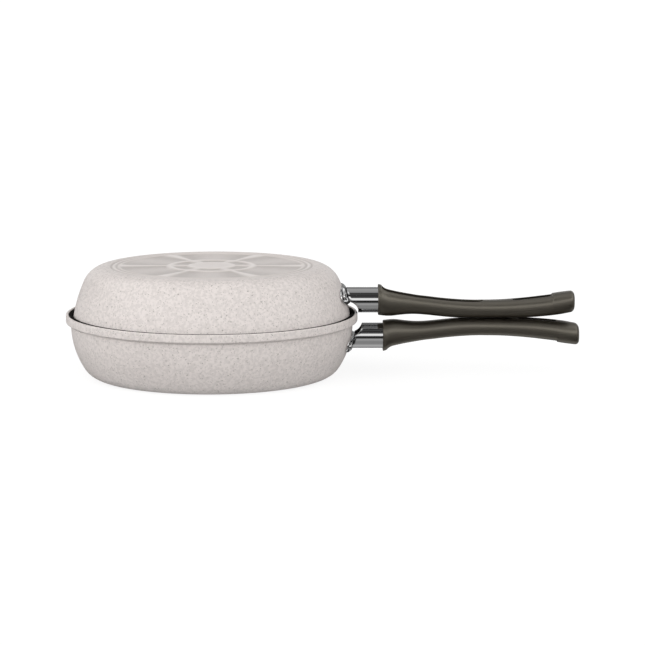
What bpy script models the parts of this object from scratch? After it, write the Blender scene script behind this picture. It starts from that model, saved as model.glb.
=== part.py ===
"""Double sided flip pan.

Two frying pans close rim to rim. The lower one has a stepped lip whose inner ledge seats the
upper one, which lies upside down in it, and a soft ring fills the groove between the two. Each
pan carries the same handle: a saddle bracket on two rivets, a scalloped oval ferrule and a
moulded grip, drawn together by a long tie screw.

Lengths are in metres. The origin is the centre of the lower pan's base, +Z is up and the
handles point along +X. Each half is modelled in a frame of its own: it lies on the plane where
the two grips meet, with its +Z pointing away from the other half, and the lower half's frame
is the upper one's turned half round about X.
"""

import math
from bisect import bisect_right

import bmesh
import bpy
from mathutils import Matrix, Vector

# Lower pan
PAN_RADIUS = 0.12405
LOWER_WALL_HEIGHT = 0.0452
LOWER_BASE_INSET = 0.0258
LOWER_CORNER_RADIUS = 0.0178
LOWER_DRAFT = math.radians(0.0)
SHELL_WALL = 0.0028
LIP_STEP = 0.0042
LIP_WALL = 0.0023
LIP_HEIGHT = 0.0087
LIP_CHAMFER = 0.0024
LIP_ROUND = 0.0007
LEDGE_RISE = 0.0021

# Upper pan
UPPER_DEPTH = 0.0466
UPPER_BASE_INSET = 0.0292
UPPER_CORNER_RADIUS = 0.0213
UPPER_DRAFT = math.radians(7.5)
RIM_PLAY = 0.0035
RIM_ROUND = 0.0006

# Soft ring in the groove between the upper rim and the lip
SEAL_SINK = 0.0002
SEAL_ROUND = 0.0005

# Relief pressed into the outside of both bases, as shares of the base's flat radius. Each ring
# gives its radius, how deep it lies on a spoke and between two spokes, and a spoke's half width
# there as a share of the way to the middle between two spokes. A spoke's edge fades over its
# share of that half width, to both sides of it.
RELIEF_DEPTH = 0.0008
SPOKE_COUNT = 6
SPOKE_FADE_SHARE = 0.5
RELIEF_RING_SHARES = (
    (0.225, 0.0, 0.0, 0.30),
    (0.250, 0.0, 1.0, 0.30),
    (0.340, 0.0, 1.0, 0.30),
    (0.372, 0.0, 0.0, 0.30),
    (0.425, 0.0, 0.0, 0.16),
    (0.455, 0.2, 1.0, 0.16),
    (0.860, 0.2, 1.0, 0.29),
    (0.880, 0.2, 0.2, 0.29),
    (0.905, 1.0, 1.0, 0.29),
    (0.935, 0.2, 0.2, 0.29),
    (0.957, 1.0, 1.0, 0.29),
    (0.978, 0.0, 0.0, 0.29),
)

# Where the handles sit. The axis is measured from the plane where the grips meet.
MEETING_RISE = 0.00195
HANDLE_AXIS = 0.0153
COLLAR_STANDOFF = 0.02667

# Saddle bracket
SADDLE_HALF_WIDTH = 0.0310
SADDLE_HALF_HEIGHT = 0.0072
SADDLE_RISE = 0.0053
SADDLE_EDGE = 0.0012
SADDLE_CROWN = 0.0024
NECK_SIDE_PLAY = 0.0015
NECK_HEIGHT_PLAY = 0.0024
NECK_DROP = 0.0020
NECK_ROOT_HALF_WIDTH = 0.0088
NECK_ROOT_HALF_HEIGHT = 0.0048
NECK_ROOT_DROP = 0.0012
NECK_BORE_DEPTH = 0.0135
# The loops of the saddle's outer face: how far each lies from the outline to the neck's root,
# and its thickness as a share of the way from the edge's to the crown's.
SADDLE_INNER_LOOPS = 3
SADDLE_LOOP_SHARES = ((0.0, 0.0), (0.06, 0.5), (0.20, 0.85), (0.45, 1.0), (0.75, 1.0))
# The neck's way from its root to its end: the share of its length, and the share of the change
# from the root's section to the end's.
NECK_WAY_SHARES = ((0.0, 0.0), (0.08, 0.04), (0.22, 0.45), (0.42, 1.0), (1.0, 1.0))

# Rivets
RIVET_SPREAD = 0.0253
RIVET_SHANK_RADIUS = 0.0022
RIVET_HEAD_RADIUS = 0.0035
RIVET_HEAD_HEIGHT = 0.0015
RIVET_INNER_RADIUS = 0.0046
RIVET_INNER_HEIGHT = 0.0012
RIVET_INNER_BEVEL = 0.0006
RIVET_DOME_STEPS = 3

# Ferrule
FERRULE_HALF_WIDTH = 0.0123
FERRULE_HALF_HEIGHT = 0.0108
FERRULE_WALL = 0.0010
SCALLOP_RADIUS = 0.0088
SCALLOP_DROP = 0.0018
LIP_CLEARANCE = 0.0004

# Grip
GRIP_LENGTH = 0.16695
GRIP_RISE = 0.0285
GRIP_HALF_WIDTH = 0.0142
GRIP_MEETING_GAP = 0.0003
SOCKET_DEPTH = 0.0024
COLLAR_ROUND = 0.0007
TIP_ROUND = 0.0032
TIP_ROUND_SHARES = (0.0, 0.25, 0.50, 0.75, 0.95)
TIP_PAD = 0.0009
TIP_PAD_RUN = 0.0009
OUTER_FULLNESS = 2.7
INNER_FULLNESS = 2.3
# The grip's outline: station along its length, outer and inner height as shares of the rise,
# and width as a share of the full one.
GRIP_OUTLINE_SHARES = (
    (0.000, 1.000, 0.080, 0.979),
    (0.016, 0.976, 0.070, 1.000),
    (0.028, 0.925, 0.062, 0.979),
    (0.043, 0.875, 0.054, 0.944),
    (0.070, 0.836, 0.056, 0.901),
    (0.110, 0.785, 0.084, 0.859),
    (0.160, 0.730, 0.108, 0.824),
    (0.205, 0.686, 0.106, 0.796),
    (0.255, 0.651, 0.082, 0.782),
    (0.315, 0.606, 0.044, 0.775),
    (0.380, 0.567, 0.010, 0.778),
    (0.450, 0.537, 0.000, 0.789),
    (0.530, 0.525, 0.000, 0.810),
    (0.610, 0.532, 0.000, 0.845),
    (0.690, 0.560, 0.000, 0.887),
    (0.760, 0.597, 0.008, 0.923),
    (0.820, 0.638, 0.032, 0.951),
    (0.875, 0.678, 0.064, 0.965),
    (0.930, 0.728, 0.106, 0.958),
    (0.970, 0.758, 0.150, 0.915),
    (1.000, 0.778, 0.185, 0.838),
)

# Channel in the grip's outer face
CHANNEL_START = 0.0034
CHANNEL_LENGTH = 0.0862
CHANNEL_START_HALF_WIDTH = 0.0080
CHANNEL_END_HALF_WIDTH = 0.0062
CHANNEL_DEPTH = 0.0031
CHANNEL_START_ROUND = 0.0016
# The cutter's rows: along its straight run, then round its far end as shares of a right angle.
CHANNEL_RUN_SHARES = (0.08, 0.20, 0.34, 0.50, 0.66, 0.82, 1.0)
CHANNEL_END_SHARES = (0.33, 0.66, 0.90)

# Hang slot
SLOT_LENGTH = 0.0336
SLOT_HALF_WIDTH = 0.0050
SLOT_TO_TIP = 0.0190
SLOT_END_SHARES = (0.10, 0.35, 0.65, 1.0)

# Tie screw and its washers
SCREW_RADIUS = 0.0025
SCREW_HEAD_RADIUS = 0.0042
SCREW_HEAD_HEIGHT = 0.0032
SCREW_SOCKET_RADIUS = 0.0022
SCREW_SOCKET_DEPTH = 0.0019
SCREW_SOCKET_SIDES = 6
SCREW_EDGE = 0.0005
SCREW_GRIP_IN_NECK = 0.0120
SCREW_START_HEIGHT = 0.0113
SCREW_END_HEIGHT = 0.0072
WASHER_RADIUS = 0.0043
WASHER_THICKNESS = 0.0010
SPRING_THICKNESS = 0.0012
SPRING_SPLIT = math.radians(14.0)
COUNTERBORE_PLAY = 0.0004

# Fits
GAP = 0.0003
OVERRUN = 0.0060

# Facets
SHELL_SEGMENTS = 48
SECTION_POINTS = 24
FERRULE_POINTS = 28
SMALL_SEGMENTS = 12
TRIM_FINENESS = 3
SMOOTH_ANGLE = math.radians(32.0)


def clear_scene():
    for found in list(bpy.data.objects):
        bpy.data.objects.remove(found, do_unlink=True)


def make_material(name, colour, metallic, roughness):
    material = bpy.data.materials.new(name)
    material.use_nodes = True
    shader = material.node_tree.nodes["Principled BSDF"]
    shader.inputs["Base Color"].default_value = (*colour, 1.0)
    shader.inputs["Metallic"].default_value = metallic
    shader.inputs["Roughness"].default_value = roughness
    return material


def lerp(low, high, share):
    return low + (high - low) * share


def finish_mesh(name, shape):
    """Turns the faces of a closed bmesh outwards and makes a smooth mesh of it."""
    bmesh.ops.recalc_face_normals(shape, faces=shape.faces)
    mesh = bpy.data.meshes.new(name)
    shape.to_mesh(mesh)
    shape.free()
    mesh.shade_smooth()
    mesh.set_sharp_from_angle(angle=SMOOTH_ANGLE)
    return mesh


def bridge(shape, rings):
    """Joins rings of vertices by quads. A ring of one vertex is a pole, joined by triangles."""
    for first, second in zip(rings, rings[1:]):
        count = max(len(first), len(second))
        for step in range(count):
            after = step + 1
            corners = [
                first[step % len(first)],
                first[after % len(first)],
                second[after % len(second)],
                second[step % len(second)],
            ]
            shape.faces.new(list(dict.fromkeys(corners)))


def close_ends(shape, rings):
    """Joins rings of vertices and closes the first and the last of them by a face."""
    bridge(shape, rings)
    shape.faces.new(rings[0])
    shape.faces.new(rings[-1])


def add_ring(shape, points):
    return [shape.verts.new(point) for point in points]


def turned_mesh(name, profile, segments, closed=False, lift=None):
    """Turns a profile of radius and height pairs about Z.

    lift gives a further rise by a pair's number and the angle, for the relief of a pan's base.
    """
    shape = bmesh.new()
    rings = []
    for number, (radius, height) in enumerate(profile):
        if radius == 0:
            rings.append(add_ring(shape, [(0, 0, height)]))
            continue
        points = []
        for step in range(segments):
            angle = math.tau * step / segments
            rise = lift(number, angle) if lift else 0
            points.append((radius * math.cos(angle), radius * math.sin(angle), height + rise))
        rings.append(add_ring(shape, points))
    if closed:
        rings.append(rings[0])
    bridge(shape, rings)
    return finish_mesh(name, shape)


def cylinder_profile(radius, low, high):
    return [(0, low), (radius, low), (radius, high), (0, high)]


def fullness_point(half_width, half_height, angle, fullness):
    """A point of a superellipse: fullness 2 is an ellipse, and more is squarer."""
    across = math.copysign(abs(math.cos(angle)) ** (2 / fullness), math.cos(angle))
    up = math.copysign(abs(math.sin(angle)) ** (2 / fullness), math.sin(angle))
    return half_width * across, half_height * up


def table_value(rows, column, place):
    """Reads a column of a table along its first column, on a smooth curve through the rows."""
    places = [row[0] for row in rows]
    index = min(max(bisect_right(places, place) - 1, 0), len(rows) - 2)

    def slope(at):
        before, after = max(at - 1, 0), min(at + 1, len(rows) - 1)
        return (rows[after][column] - rows[before][column]) / (places[after] - places[before])

    span = places[index + 1] - places[index]
    share = (place - places[index]) / span
    start, end = rows[index][column], rows[index + 1][column]
    square, cube = share * share, share * share * share
    return (
        start * (2 * cube - 3 * square + 1)
        + end * (3 * square - 2 * cube)
        + slope(index) * span * (cube - 2 * square + share)
        + slope(index + 1) * span * (cube - square)
    )


class PanForm:
    """The outside of a pan: a flat base, a corner arc and a wall arc that meets it smoothly.

    Heights are measured from the base. The wall arc ends at the rim height, where it leans
    outwards by the draft.
    """

    CORNER_STEPS = 4
    WALL_STEPS = 4
    CORNER_LIMIT_SHARE = 0.9

    def __init__(self, rim_radius, rim_height, base_inset, corner, draft):
        lean, rise = math.cos(draft), math.sin(draft)
        room = (base_inset * lean - rim_height * rise) / (1 - rise)
        self.corner = min(corner, self.CORNER_LIMIT_SHARE * room)
        self.flat_radius = rim_radius - base_inset
        self.rim_radius = rim_radius
        self.rim_height = rim_height
        climb = rim_height - self.corner
        free = base_inset * lean - climb * rise - self.corner
        self.wall = (base_inset**2 + climb**2 - self.corner**2) / (2 * free)
        self.wall_x = rim_radius - self.wall * lean
        self.wall_z = rim_height + self.wall * rise
        self.turn = math.atan2(self.corner - self.wall_z, self.flat_radius - self.wall_x)
        self.end_turn = -draft

    def radius_at(self, height, offset=0.0):
        """The radius at a height on the wall arc, moved outwards by the offset."""
        reach = self.wall + offset
        return self.wall_x + math.sqrt(reach**2 - (self.wall_z - height) ** 2)

    def slope_at(self, height):
        """How far the outward normal points down towards the base, as an angle."""
        return math.asin((self.wall_z - height) / self.wall)

    def arcs(self, offset=0.0, fineness=1):
        """Points from the edge of the flat base up to the rim, moved outwards by the offset."""
        points = []
        corner_steps, wall_steps = self.CORNER_STEPS * fineness, self.WALL_STEPS * fineness
        for step in range(corner_steps):
            angle = lerp(-math.pi / 2, self.turn, step / corner_steps)
            reach = self.corner + offset
            points.append(
                (self.flat_radius + reach * math.cos(angle), self.corner + reach * math.sin(angle))
            )
        for step in range(wall_steps + 1):
            angle = lerp(self.turn, self.end_turn, step / wall_steps)
            reach = self.wall + offset
            points.append(
                (self.wall_x + reach * math.cos(angle), self.wall_z + reach * math.sin(angle))
            )
        return points


# Turns a shape that is measured from its base over, so that its base faces up.
BASE_UP = Matrix.Rotation(math.pi, 3, "X")

LOWER_WALL_RADIUS = PAN_RADIUS - LIP_STEP
LIP_INNER_RADIUS = PAN_RADIUS - LIP_WALL
LIP_TOP = LOWER_WALL_HEIGHT + LIP_HEIGHT
LEDGE_HEIGHT = LOWER_WALL_HEIGHT + LEDGE_RISE
MEETING_HEIGHT = LEDGE_HEIGHT + MEETING_RISE
UPPER_RIM_RADIUS = LIP_INNER_RADIUS - RIM_PLAY
UPPER_BASE_HEIGHT = LEDGE_HEIGHT + GAP + UPPER_DEPTH

LOWER_FORM = PanForm(
    LOWER_WALL_RADIUS, LOWER_WALL_HEIGHT, LOWER_BASE_INSET, LOWER_CORNER_RADIUS, LOWER_DRAFT
)
UPPER_FORM = PanForm(
    UPPER_RIM_RADIUS, UPPER_DEPTH, UPPER_BASE_INSET, UPPER_CORNER_RADIUS, UPPER_DRAFT
)


class Half:
    """One half of the pan: its frame, its wall and where its handle starts."""

    def __init__(self, name, form, base_height, turned_over):
        self.name = name
        self.form = form
        self.base_height = base_height
        self.wall_x = self.wall_radius(HANDLE_AXIS)
        self.collar_x = self.wall_x + COLLAR_STANDOFF
        self.frame = bpy.data.objects.new(name + "_pan", None)
        self.frame.location = (0, 0, MEETING_HEIGHT)
        self.frame.rotation_euler = (math.pi if turned_over else 0, 0, 0)
        bpy.context.collection.objects.link(self.frame)

    def wall_radius(self, height, offset=0.0):
        """The wall's outer radius at a height in this half's frame."""
        return self.form.radius_at(self.base_height - height, offset)

    def place(self, name, mesh, material, location=(0, 0, 0), turn=None):
        """Adds a mesh as one of this half's pieces."""
        piece = bpy.data.objects.new(self.name + "_" + name, mesh)
        piece.parent = self.frame
        if turn is not None:
            piece.rotation_euler = turn.to_euler()
        piece.location = location
        if material is not None:
            mesh.materials.clear()
            mesh.materials.append(material)
        bpy.context.collection.objects.link(piece)
        return piece

    def cut(self, piece, name, mesh, location=(0, 0, 0), turn=None):
        """Cuts a mesh out of a piece. The cutter stays in the scene as a hidden guide."""
        cutter = self.place(name + "_cutter", mesh, None, location, turn)
        self.cut_with(piece, cutter)
        return cutter

    def cut_with(self, piece, cutter):
        cutter.hide_render = True
        cutter.display_type = "WIRE"
        modifier = piece.modifiers.new(cutter.name, "BOOLEAN")
        modifier.operation = "DIFFERENCE"
        modifier.solver = "EXACT"
        modifier.object = cutter


def relief_lift(number, angle):
    """How far a ring of the base's outside is pressed in, by its number from the centre."""
    if not 1 <= number <= len(RELIEF_RING_SHARES):
        return 0
    on_spoke, between, half_width = RELIEF_RING_SHARES[number - 1][1:]
    half_pitch = math.pi / SPOKE_COUNT
    from_spoke = abs(math.remainder(angle, 2 * half_pitch)) / half_pitch
    share = (1 + SPOKE_FADE_SHARE - from_spoke / half_width) / (2 * SPOKE_FADE_SHARE)
    share = min(max(share, 0), 1)
    ridge = share * share * (3 - 2 * share)
    return RELIEF_DEPTH * lerp(between, on_spoke, ridge)


def base_profile(form):
    """The outside of the base from its centre to the corner, before it is pressed."""
    return [(0, 0)] + [(form.flat_radius * ring[0], 0) for ring in RELIEF_RING_SHARES]


def lower_profile():
    """The lower shell: base, wall, the lip and its ledge, and back down inside."""
    wall_inside = LOWER_WALL_RADIUS - SHELL_WALL
    lip = [
        (LOWER_WALL_RADIUS + LIP_ROUND, LOWER_WALL_HEIGHT),
        (PAN_RADIUS - LIP_ROUND / 2, LOWER_WALL_HEIGHT + LIP_CHAMFER - LIP_ROUND),
        (PAN_RADIUS, LOWER_WALL_HEIGHT + LIP_CHAMFER),
        (PAN_RADIUS, LIP_TOP - LIP_ROUND),
        (PAN_RADIUS - LIP_ROUND, LIP_TOP),
        (LIP_INNER_RADIUS + LIP_ROUND / 2, LIP_TOP),
        (LIP_INNER_RADIUS, LIP_TOP - LIP_ROUND),
        (LIP_INNER_RADIUS, LEDGE_HEIGHT),
        (wall_inside + LIP_ROUND / 2, LEDGE_HEIGHT),
        (wall_inside, LEDGE_HEIGHT - LIP_ROUND),
    ]
    inside = LOWER_FORM.arcs(-SHELL_WALL)[::-1]
    return base_profile(LOWER_FORM) + LOWER_FORM.arcs() + lip + inside + [(0, SHELL_WALL)]


def upper_profile():
    """The upper shell, measured from its base: the wall ends in a plain rounded rim."""
    outside = UPPER_FORM.arcs()
    inside = UPPER_FORM.arcs(-SHELL_WALL)
    rim_out, rim_in = outside.pop(), inside.pop()
    rim = [
        (rim_out[0], UPPER_DEPTH - RIM_ROUND),
        (rim_out[0] - RIM_ROUND, UPPER_DEPTH),
        (rim_in[0] + RIM_ROUND, UPPER_DEPTH),
        (rim_in[0], UPPER_DEPTH - RIM_ROUND),
    ]
    return base_profile(UPPER_FORM) + outside + rim + inside[::-1] + [(0, SHELL_WALL)]


def seal_profile():
    """The soft ring: it lies on the ledge beside the upper rim and ends just below the lip."""
    inner, outer = UPPER_RIM_RADIUS + GAP, LIP_INNER_RADIUS - GAP
    low, high = LEDGE_HEIGHT + GAP, LIP_TOP - SEAL_SINK
    return [
        (inner, low),
        (inner, high - SEAL_ROUND),
        (inner + SEAL_ROUND, high),
        (outer - SEAL_ROUND, high),
        (outer, high - SEAL_ROUND),
        (outer, low),
    ]


def add_seal(half, material):
    mesh = turned_mesh("seal", seal_profile(), SHELL_SEGMENTS, closed=True)
    half.place("seal", mesh, material, (0, 0, half.base_height), BASE_UP)


def add_shell(half, profile, material):
    """Turns the shell in its own frame, base down, then lays it over the half's frame."""
    mesh = turned_mesh("pan_shell", profile, SHELL_SEGMENTS, lift=relief_lift)
    return half.place("pan_shell", mesh, material, (0, 0, half.base_height), BASE_UP)


def ferrule_inside():
    return FERRULE_HALF_WIDTH - FERRULE_WALL, FERRULE_HALF_HEIGHT - FERRULE_WALL


def saddle_point(half, along, height, offset):
    """A point on the saddle by its distance round the wall, its height and its thickness."""
    angle = along / half.wall_x
    radius = half.wall_radius(height) + offset
    return radius * math.cos(angle), radius * math.sin(angle), height


def add_bracket(half, material):
    """The saddle that hugs the wall, and the neck that runs from it into the ferrule."""
    shape = bmesh.new()
    middle = HANDLE_AXIS + SADDLE_RISE
    inner_width, inner_height = ferrule_inside()
    root = (NECK_ROOT_HALF_WIDTH, NECK_ROOT_HALF_HEIGHT, middle - NECK_ROOT_DROP)
    end = (inner_width - NECK_SIDE_PLAY, inner_height - NECK_HEIGHT_PLAY, HANDLE_AXIS - NECK_DROP)
    crown = GAP + SADDLE_CROWN
    turns = [math.tau * step / SECTION_POINTS for step in range(SECTION_POINTS)]

    def outline(angle):
        along, up = fullness_point(SADDLE_HALF_WIDTH, SADDLE_HALF_HEIGHT, angle, OUTER_FULLNESS)
        return along, middle + up

    def section(angle, width, height, centre):
        across, up = fullness_point(width, height, angle, 2)
        return across, centre + up

    rings = [add_ring(shape, [saddle_point(half, 0, middle, GAP)])]
    for step in range(1, SADDLE_INNER_LOOPS + 1):
        share = step / SADDLE_INNER_LOOPS
        points = []
        for angle in turns:
            along, height = outline(angle)
            points.append(saddle_point(half, along * share, lerp(middle, height, share), GAP))
        rings.append(add_ring(shape, points))
    for share, swell in SADDLE_LOOP_SHARES:
        thickness = GAP + lerp(SADDLE_EDGE, SADDLE_CROWN, swell)
        points = []
        for angle in turns:
            pairs = zip(outline(angle), section(angle, *root))
            along, height = (lerp(low, high, share) for low, high in pairs)
            points.append(saddle_point(half, along, height, thickness))
        rings.append(add_ring(shape, points))
    neck_end = half.collar_x + SOCKET_DEPTH - GAP
    for way, change in NECK_WAY_SHARES:
        sizes = [lerp(low, high, change) for low, high in zip(root, end)]
        points = []
        for angle in turns:
            across, height = section(angle, *sizes)
            start, side, _ = saddle_point(half, across, height, crown)
            points.append((lerp(start, neck_end, way), side, height))
        rings.append(add_ring(shape, points))
    bridge(shape, rings)
    shape.faces.new(rings[-1])
    return half.place("handle_bracket", finish_mesh("bracket", shape), material)


def rivet_turn(half, side):
    """The place on the wall and the direction of a rivet, side being -1 or 1."""
    height = HANDLE_AXIS + SADDLE_RISE
    angle = side * RIVET_SPREAD / half.wall_x
    tilt = half.form.slope_at(half.base_height - height)
    outward = Vector(
        (
            math.cos(tilt) * math.cos(angle),
            math.cos(tilt) * math.sin(angle),
            math.sin(tilt),
        )
    )
    place = Vector(saddle_point(half, side * RIVET_SPREAD, height, 0))
    return place, outward.to_track_quat("Z", "Y").to_matrix()


def rivet_profile():
    """A domed head on the saddle, the shank and a low domed head inside the pan."""
    outside = GAP + SADDLE_CROWN + GAP
    inside = -SHELL_WALL - 2 * GAP
    profile = [
        (0, inside - RIVET_INNER_HEIGHT),
        (RIVET_INNER_RADIUS - 2 * RIVET_INNER_BEVEL, inside - RIVET_INNER_HEIGHT),
        (RIVET_INNER_RADIUS, inside - RIVET_INNER_BEVEL),
        (RIVET_INNER_RADIUS, inside),
        (RIVET_SHANK_RADIUS, inside),
        (RIVET_SHANK_RADIUS, outside),
        (RIVET_HEAD_RADIUS, outside),
    ]
    for step in range(1, RIVET_DOME_STEPS):
        angle = step * math.pi / 2 / RIVET_DOME_STEPS
        height = RIVET_HEAD_HEIGHT * math.sin(angle)
        profile.append((RIVET_HEAD_RADIUS * math.cos(angle), outside + height))
    return profile + [(0, outside + RIVET_HEAD_HEIGHT)]


def add_rivets(half, shell, bracket, material):
    reach = SHELL_WALL + SADDLE_CROWN + OVERRUN
    for name, side in (("near", -1), ("far", 1)):
        place, turn = rivet_turn(half, side if half.name == "upper" else -side)
        mesh = turned_mesh("rivet", rivet_profile(), SMALL_SEGMENTS)
        half.place("rivet_" + name, mesh, material, place, turn)
        hole = turned_mesh(
            "rivet_hole", cylinder_profile(RIVET_SHANK_RADIUS + GAP, -reach, reach), SMALL_SEGMENTS
        )
        cutter = half.cut(shell, "rivet_hole_" + name, hole, place, turn)
        half.cut_with(bracket, cutter)


def oval_ring(shape, place, half_width, half_height):
    """A ring of the ferrule or of its socket, on the handle's axis."""
    points = []
    for step in range(FERRULE_POINTS):
        angle = math.tau * step / FERRULE_POINTS
        across, up = fullness_point(half_width, half_height, angle, 2)
        points.append((place, across, HANDLE_AXIS + up))
    return add_ring(shape, points)


def wall_cutter_profile(half):
    """The space that the wall and the saddle take, with their gap, for trimming the ferrule.

    Heights are measured from the base. The saddle ends at its edge, and beyond it the ferrule
    reaches the wall itself.
    """
    form = half.form
    edge = half.base_height - (HANDLE_AXIS + SADDLE_RISE - SADDLE_HALF_HEIGHT) + GAP
    over_saddle = GAP + SADDLE_CROWN + GAP
    wall = form.arcs(fineness=TRIM_FINENESS)
    profile = [(0, -OVERRUN), (form.flat_radius + over_saddle, -OVERRUN)]
    profile += [(radius + over_saddle, height) for radius, height in wall if height < edge]
    edge_radius = form.radius_at(edge)
    profile += [(edge_radius + over_saddle, edge), (edge_radius + GAP, edge)]
    profile += [(radius + GAP, height) for radius, height in wall if height > edge]
    top = form.rim_height + OVERRUN
    return profile + [(form.rim_radius + GAP, top), (0, top)]


def add_ferrule(half, upper_collar_x, material):
    """An oval sleeve, trimmed to the wall and the saddle, with a scallop that clears the lip."""
    shape = bmesh.new()
    near, far = -COLLAR_STANDOFF - OVERRUN, SOCKET_DEPTH - GAP
    width, height = ferrule_inside()
    rings = [
        oval_ring(shape, near, FERRULE_HALF_WIDTH, FERRULE_HALF_HEIGHT),
        oval_ring(shape, far, FERRULE_HALF_WIDTH, FERRULE_HALF_HEIGHT),
        oval_ring(shape, far, width, height),
        oval_ring(shape, near, width, height),
    ]
    bridge(shape, rings + rings[:1])
    mesh = finish_mesh("ferrule", shape)
    ferrule = half.place("ferrule", mesh, material, (half.collar_x, 0, 0))

    trim = turned_mesh("ferrule_trim", wall_cutter_profile(half), 2 * SHELL_SEGMENTS)
    half.cut(ferrule, "ferrule_trim", trim, (0, 0, half.base_height), BASE_UP)

    scallop_height = HANDLE_AXIS - FERRULE_HALF_HEIGHT + SCALLOP_DROP
    half_chord = math.sqrt(SCALLOP_RADIUS**2 - SCALLOP_DROP**2)
    reach_from_collar = PAN_RADIUS + LIP_CLEARANCE - upper_collar_x
    side = FERRULE_HALF_WIDTH + OVERRUN
    scallop = turned_mesh("scallop", cylinder_profile(SCALLOP_RADIUS, -side, side), FERRULE_POINTS)
    place = (half.collar_x + reach_from_collar - half_chord, 0, scallop_height)
    half.cut(ferrule, "scallop", scallop, place, Matrix.Rotation(math.pi / 2, 3, "X"))


def slot_span():
    end = GRIP_LENGTH - SLOT_TO_TIP
    return end - SLOT_LENGTH, end


def grip_heights(station):
    """The grip's outer and inner height and half width at a distance from the collar."""
    place = min(max(station / GRIP_LENGTH, 0), 1)
    outer, inner, width = (table_value(GRIP_OUTLINE_SHARES, column, place) for column in (1, 2, 3))
    pad = min(max((station - slot_span()[1]) / TIP_PAD_RUN, 0), 1)
    return (
        outer * GRIP_RISE + pad * TIP_PAD,
        GRIP_MEETING_GAP / 2 + max(inner, 0) * GRIP_RISE,
        width * GRIP_HALF_WIDTH,
    )


def grip_stations():
    """Distances from the collar, each with how far the section is drawn in there."""
    slot_end = slot_span()[1]
    stations = [(0, COLLAR_ROUND), (COLLAR_ROUND, 0)]
    for row in GRIP_OUTLINE_SHARES[1:-1]:
        place = row[0] * GRIP_LENGTH
        clear_of_pad = abs(place - slot_end) > 2 * TIP_PAD_RUN
        if clear_of_pad and place < GRIP_LENGTH - TIP_ROUND:
            stations.append((place, 0))
    stations += [(slot_end, 0), (slot_end + TIP_PAD_RUN, 0)]
    for share in TIP_ROUND_SHARES:
        turn = share * math.pi / 2
        stations.append(
            (GRIP_LENGTH - TIP_ROUND * (1 - math.sin(turn)), TIP_ROUND * (1 - math.cos(turn)))
        )
    return sorted(stations)


def grip_mesh():
    """The grip's body, lofted through its sections from the collar to the tip."""
    shape = bmesh.new()
    rings = []
    for station, draw in grip_stations():
        outer, inner, width = grip_heights(station)
        centre, half_height = (outer + inner) / 2, (outer - inner) / 2 - draw
        points = []
        for step in range(SECTION_POINTS):
            angle = math.tau * step / SECTION_POINTS
            fullness = OUTER_FULLNESS if math.sin(angle) > 0 else INNER_FULLNESS
            across, up = fullness_point(width - draw, half_height, angle, fullness)
            points.append((station, across, centre + up))
        rings.append(add_ring(shape, points))
    close_ends(shape, rings)
    return finish_mesh("grip", shape)


def strip_mesh(name, rows):
    """A closed cutter from rows of distance, half width, low and high, one row after another."""
    shape = bmesh.new()
    rings = []
    for place, width, low, high in rows:
        corners = ((-width, low), (width, low), (width, high), (-width, high))
        rings.append(add_ring(shape, [(place, across, height) for across, height in corners]))
    close_ends(shape, rings)
    return finish_mesh(name, shape)


def channel_mesh():
    """The channel's cutter: its floor follows the outer face, and its far end is round."""
    end = CHANNEL_START + CHANNEL_LENGTH
    run = end - CHANNEL_END_HALF_WIDTH - CHANNEL_START
    widths = [
        (CHANNEL_START, CHANNEL_START_HALF_WIDTH - CHANNEL_START_ROUND),
        (CHANNEL_START + CHANNEL_START_ROUND, CHANNEL_START_HALF_WIDTH),
    ]
    for share in CHANNEL_RUN_SHARES:
        width = lerp(CHANNEL_START_HALF_WIDTH, CHANNEL_END_HALF_WIDTH, share)
        widths.append((CHANNEL_START + run * share, width))
    for share in CHANNEL_END_SHARES:
        turn = share * math.pi / 2
        place = end - CHANNEL_END_HALF_WIDTH * (1 - math.sin(turn))
        widths.append((place, CHANNEL_END_HALF_WIDTH * math.cos(turn)))
    rows = []
    for place, width in widths:
        outer = grip_heights(place)[0]
        rows.append((place, width, outer - CHANNEL_DEPTH, outer + OVERRUN))
    return strip_mesh("channel", rows)


def slot_mesh():
    """The hang slot's cutter, a long hole with round ends right through the grip."""
    start, end = slot_span()
    near = []
    for share in SLOT_END_SHARES:
        turn = share * math.pi / 2
        place = start + SLOT_HALF_WIDTH * (1 - math.cos(turn))
        near.append((place, SLOT_HALF_WIDTH * math.sin(turn)))
    far = [(start + end - place, width) for place, width in reversed(near)]
    top = GRIP_RISE + OVERRUN
    return strip_mesh("hang_slot", [(place, width, -OVERRUN, top) for place, width in near + far])


def socket_mesh():
    """The socket in the collar that takes the ferrule's end."""
    shape = bmesh.new()
    width, height = FERRULE_HALF_WIDTH + GAP, FERRULE_HALF_HEIGHT + GAP
    rings = [
        oval_ring(shape, -OVERRUN, width, height),
        oval_ring(shape, SOCKET_DEPTH, width, height),
    ]
    close_ends(shape, rings)
    return finish_mesh("socket", shape)


def screw_frame():
    """The tie screw's line from the collar to the near end of the hang slot.

    It gives the start, the turn that lays +Z along the line, and the line's length.
    """
    start = Vector((0, 0, SCREW_START_HEIGHT))
    end = Vector((slot_span()[0], 0, SCREW_END_HEIGHT))
    line = end - start
    return start, line.to_track_quat("Z", "Y").to_matrix(), line.length


def counterbore_depth():
    return SCREW_HEAD_HEIGHT + SPRING_THICKNESS + WASHER_THICKNESS + 4 * GAP


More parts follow.
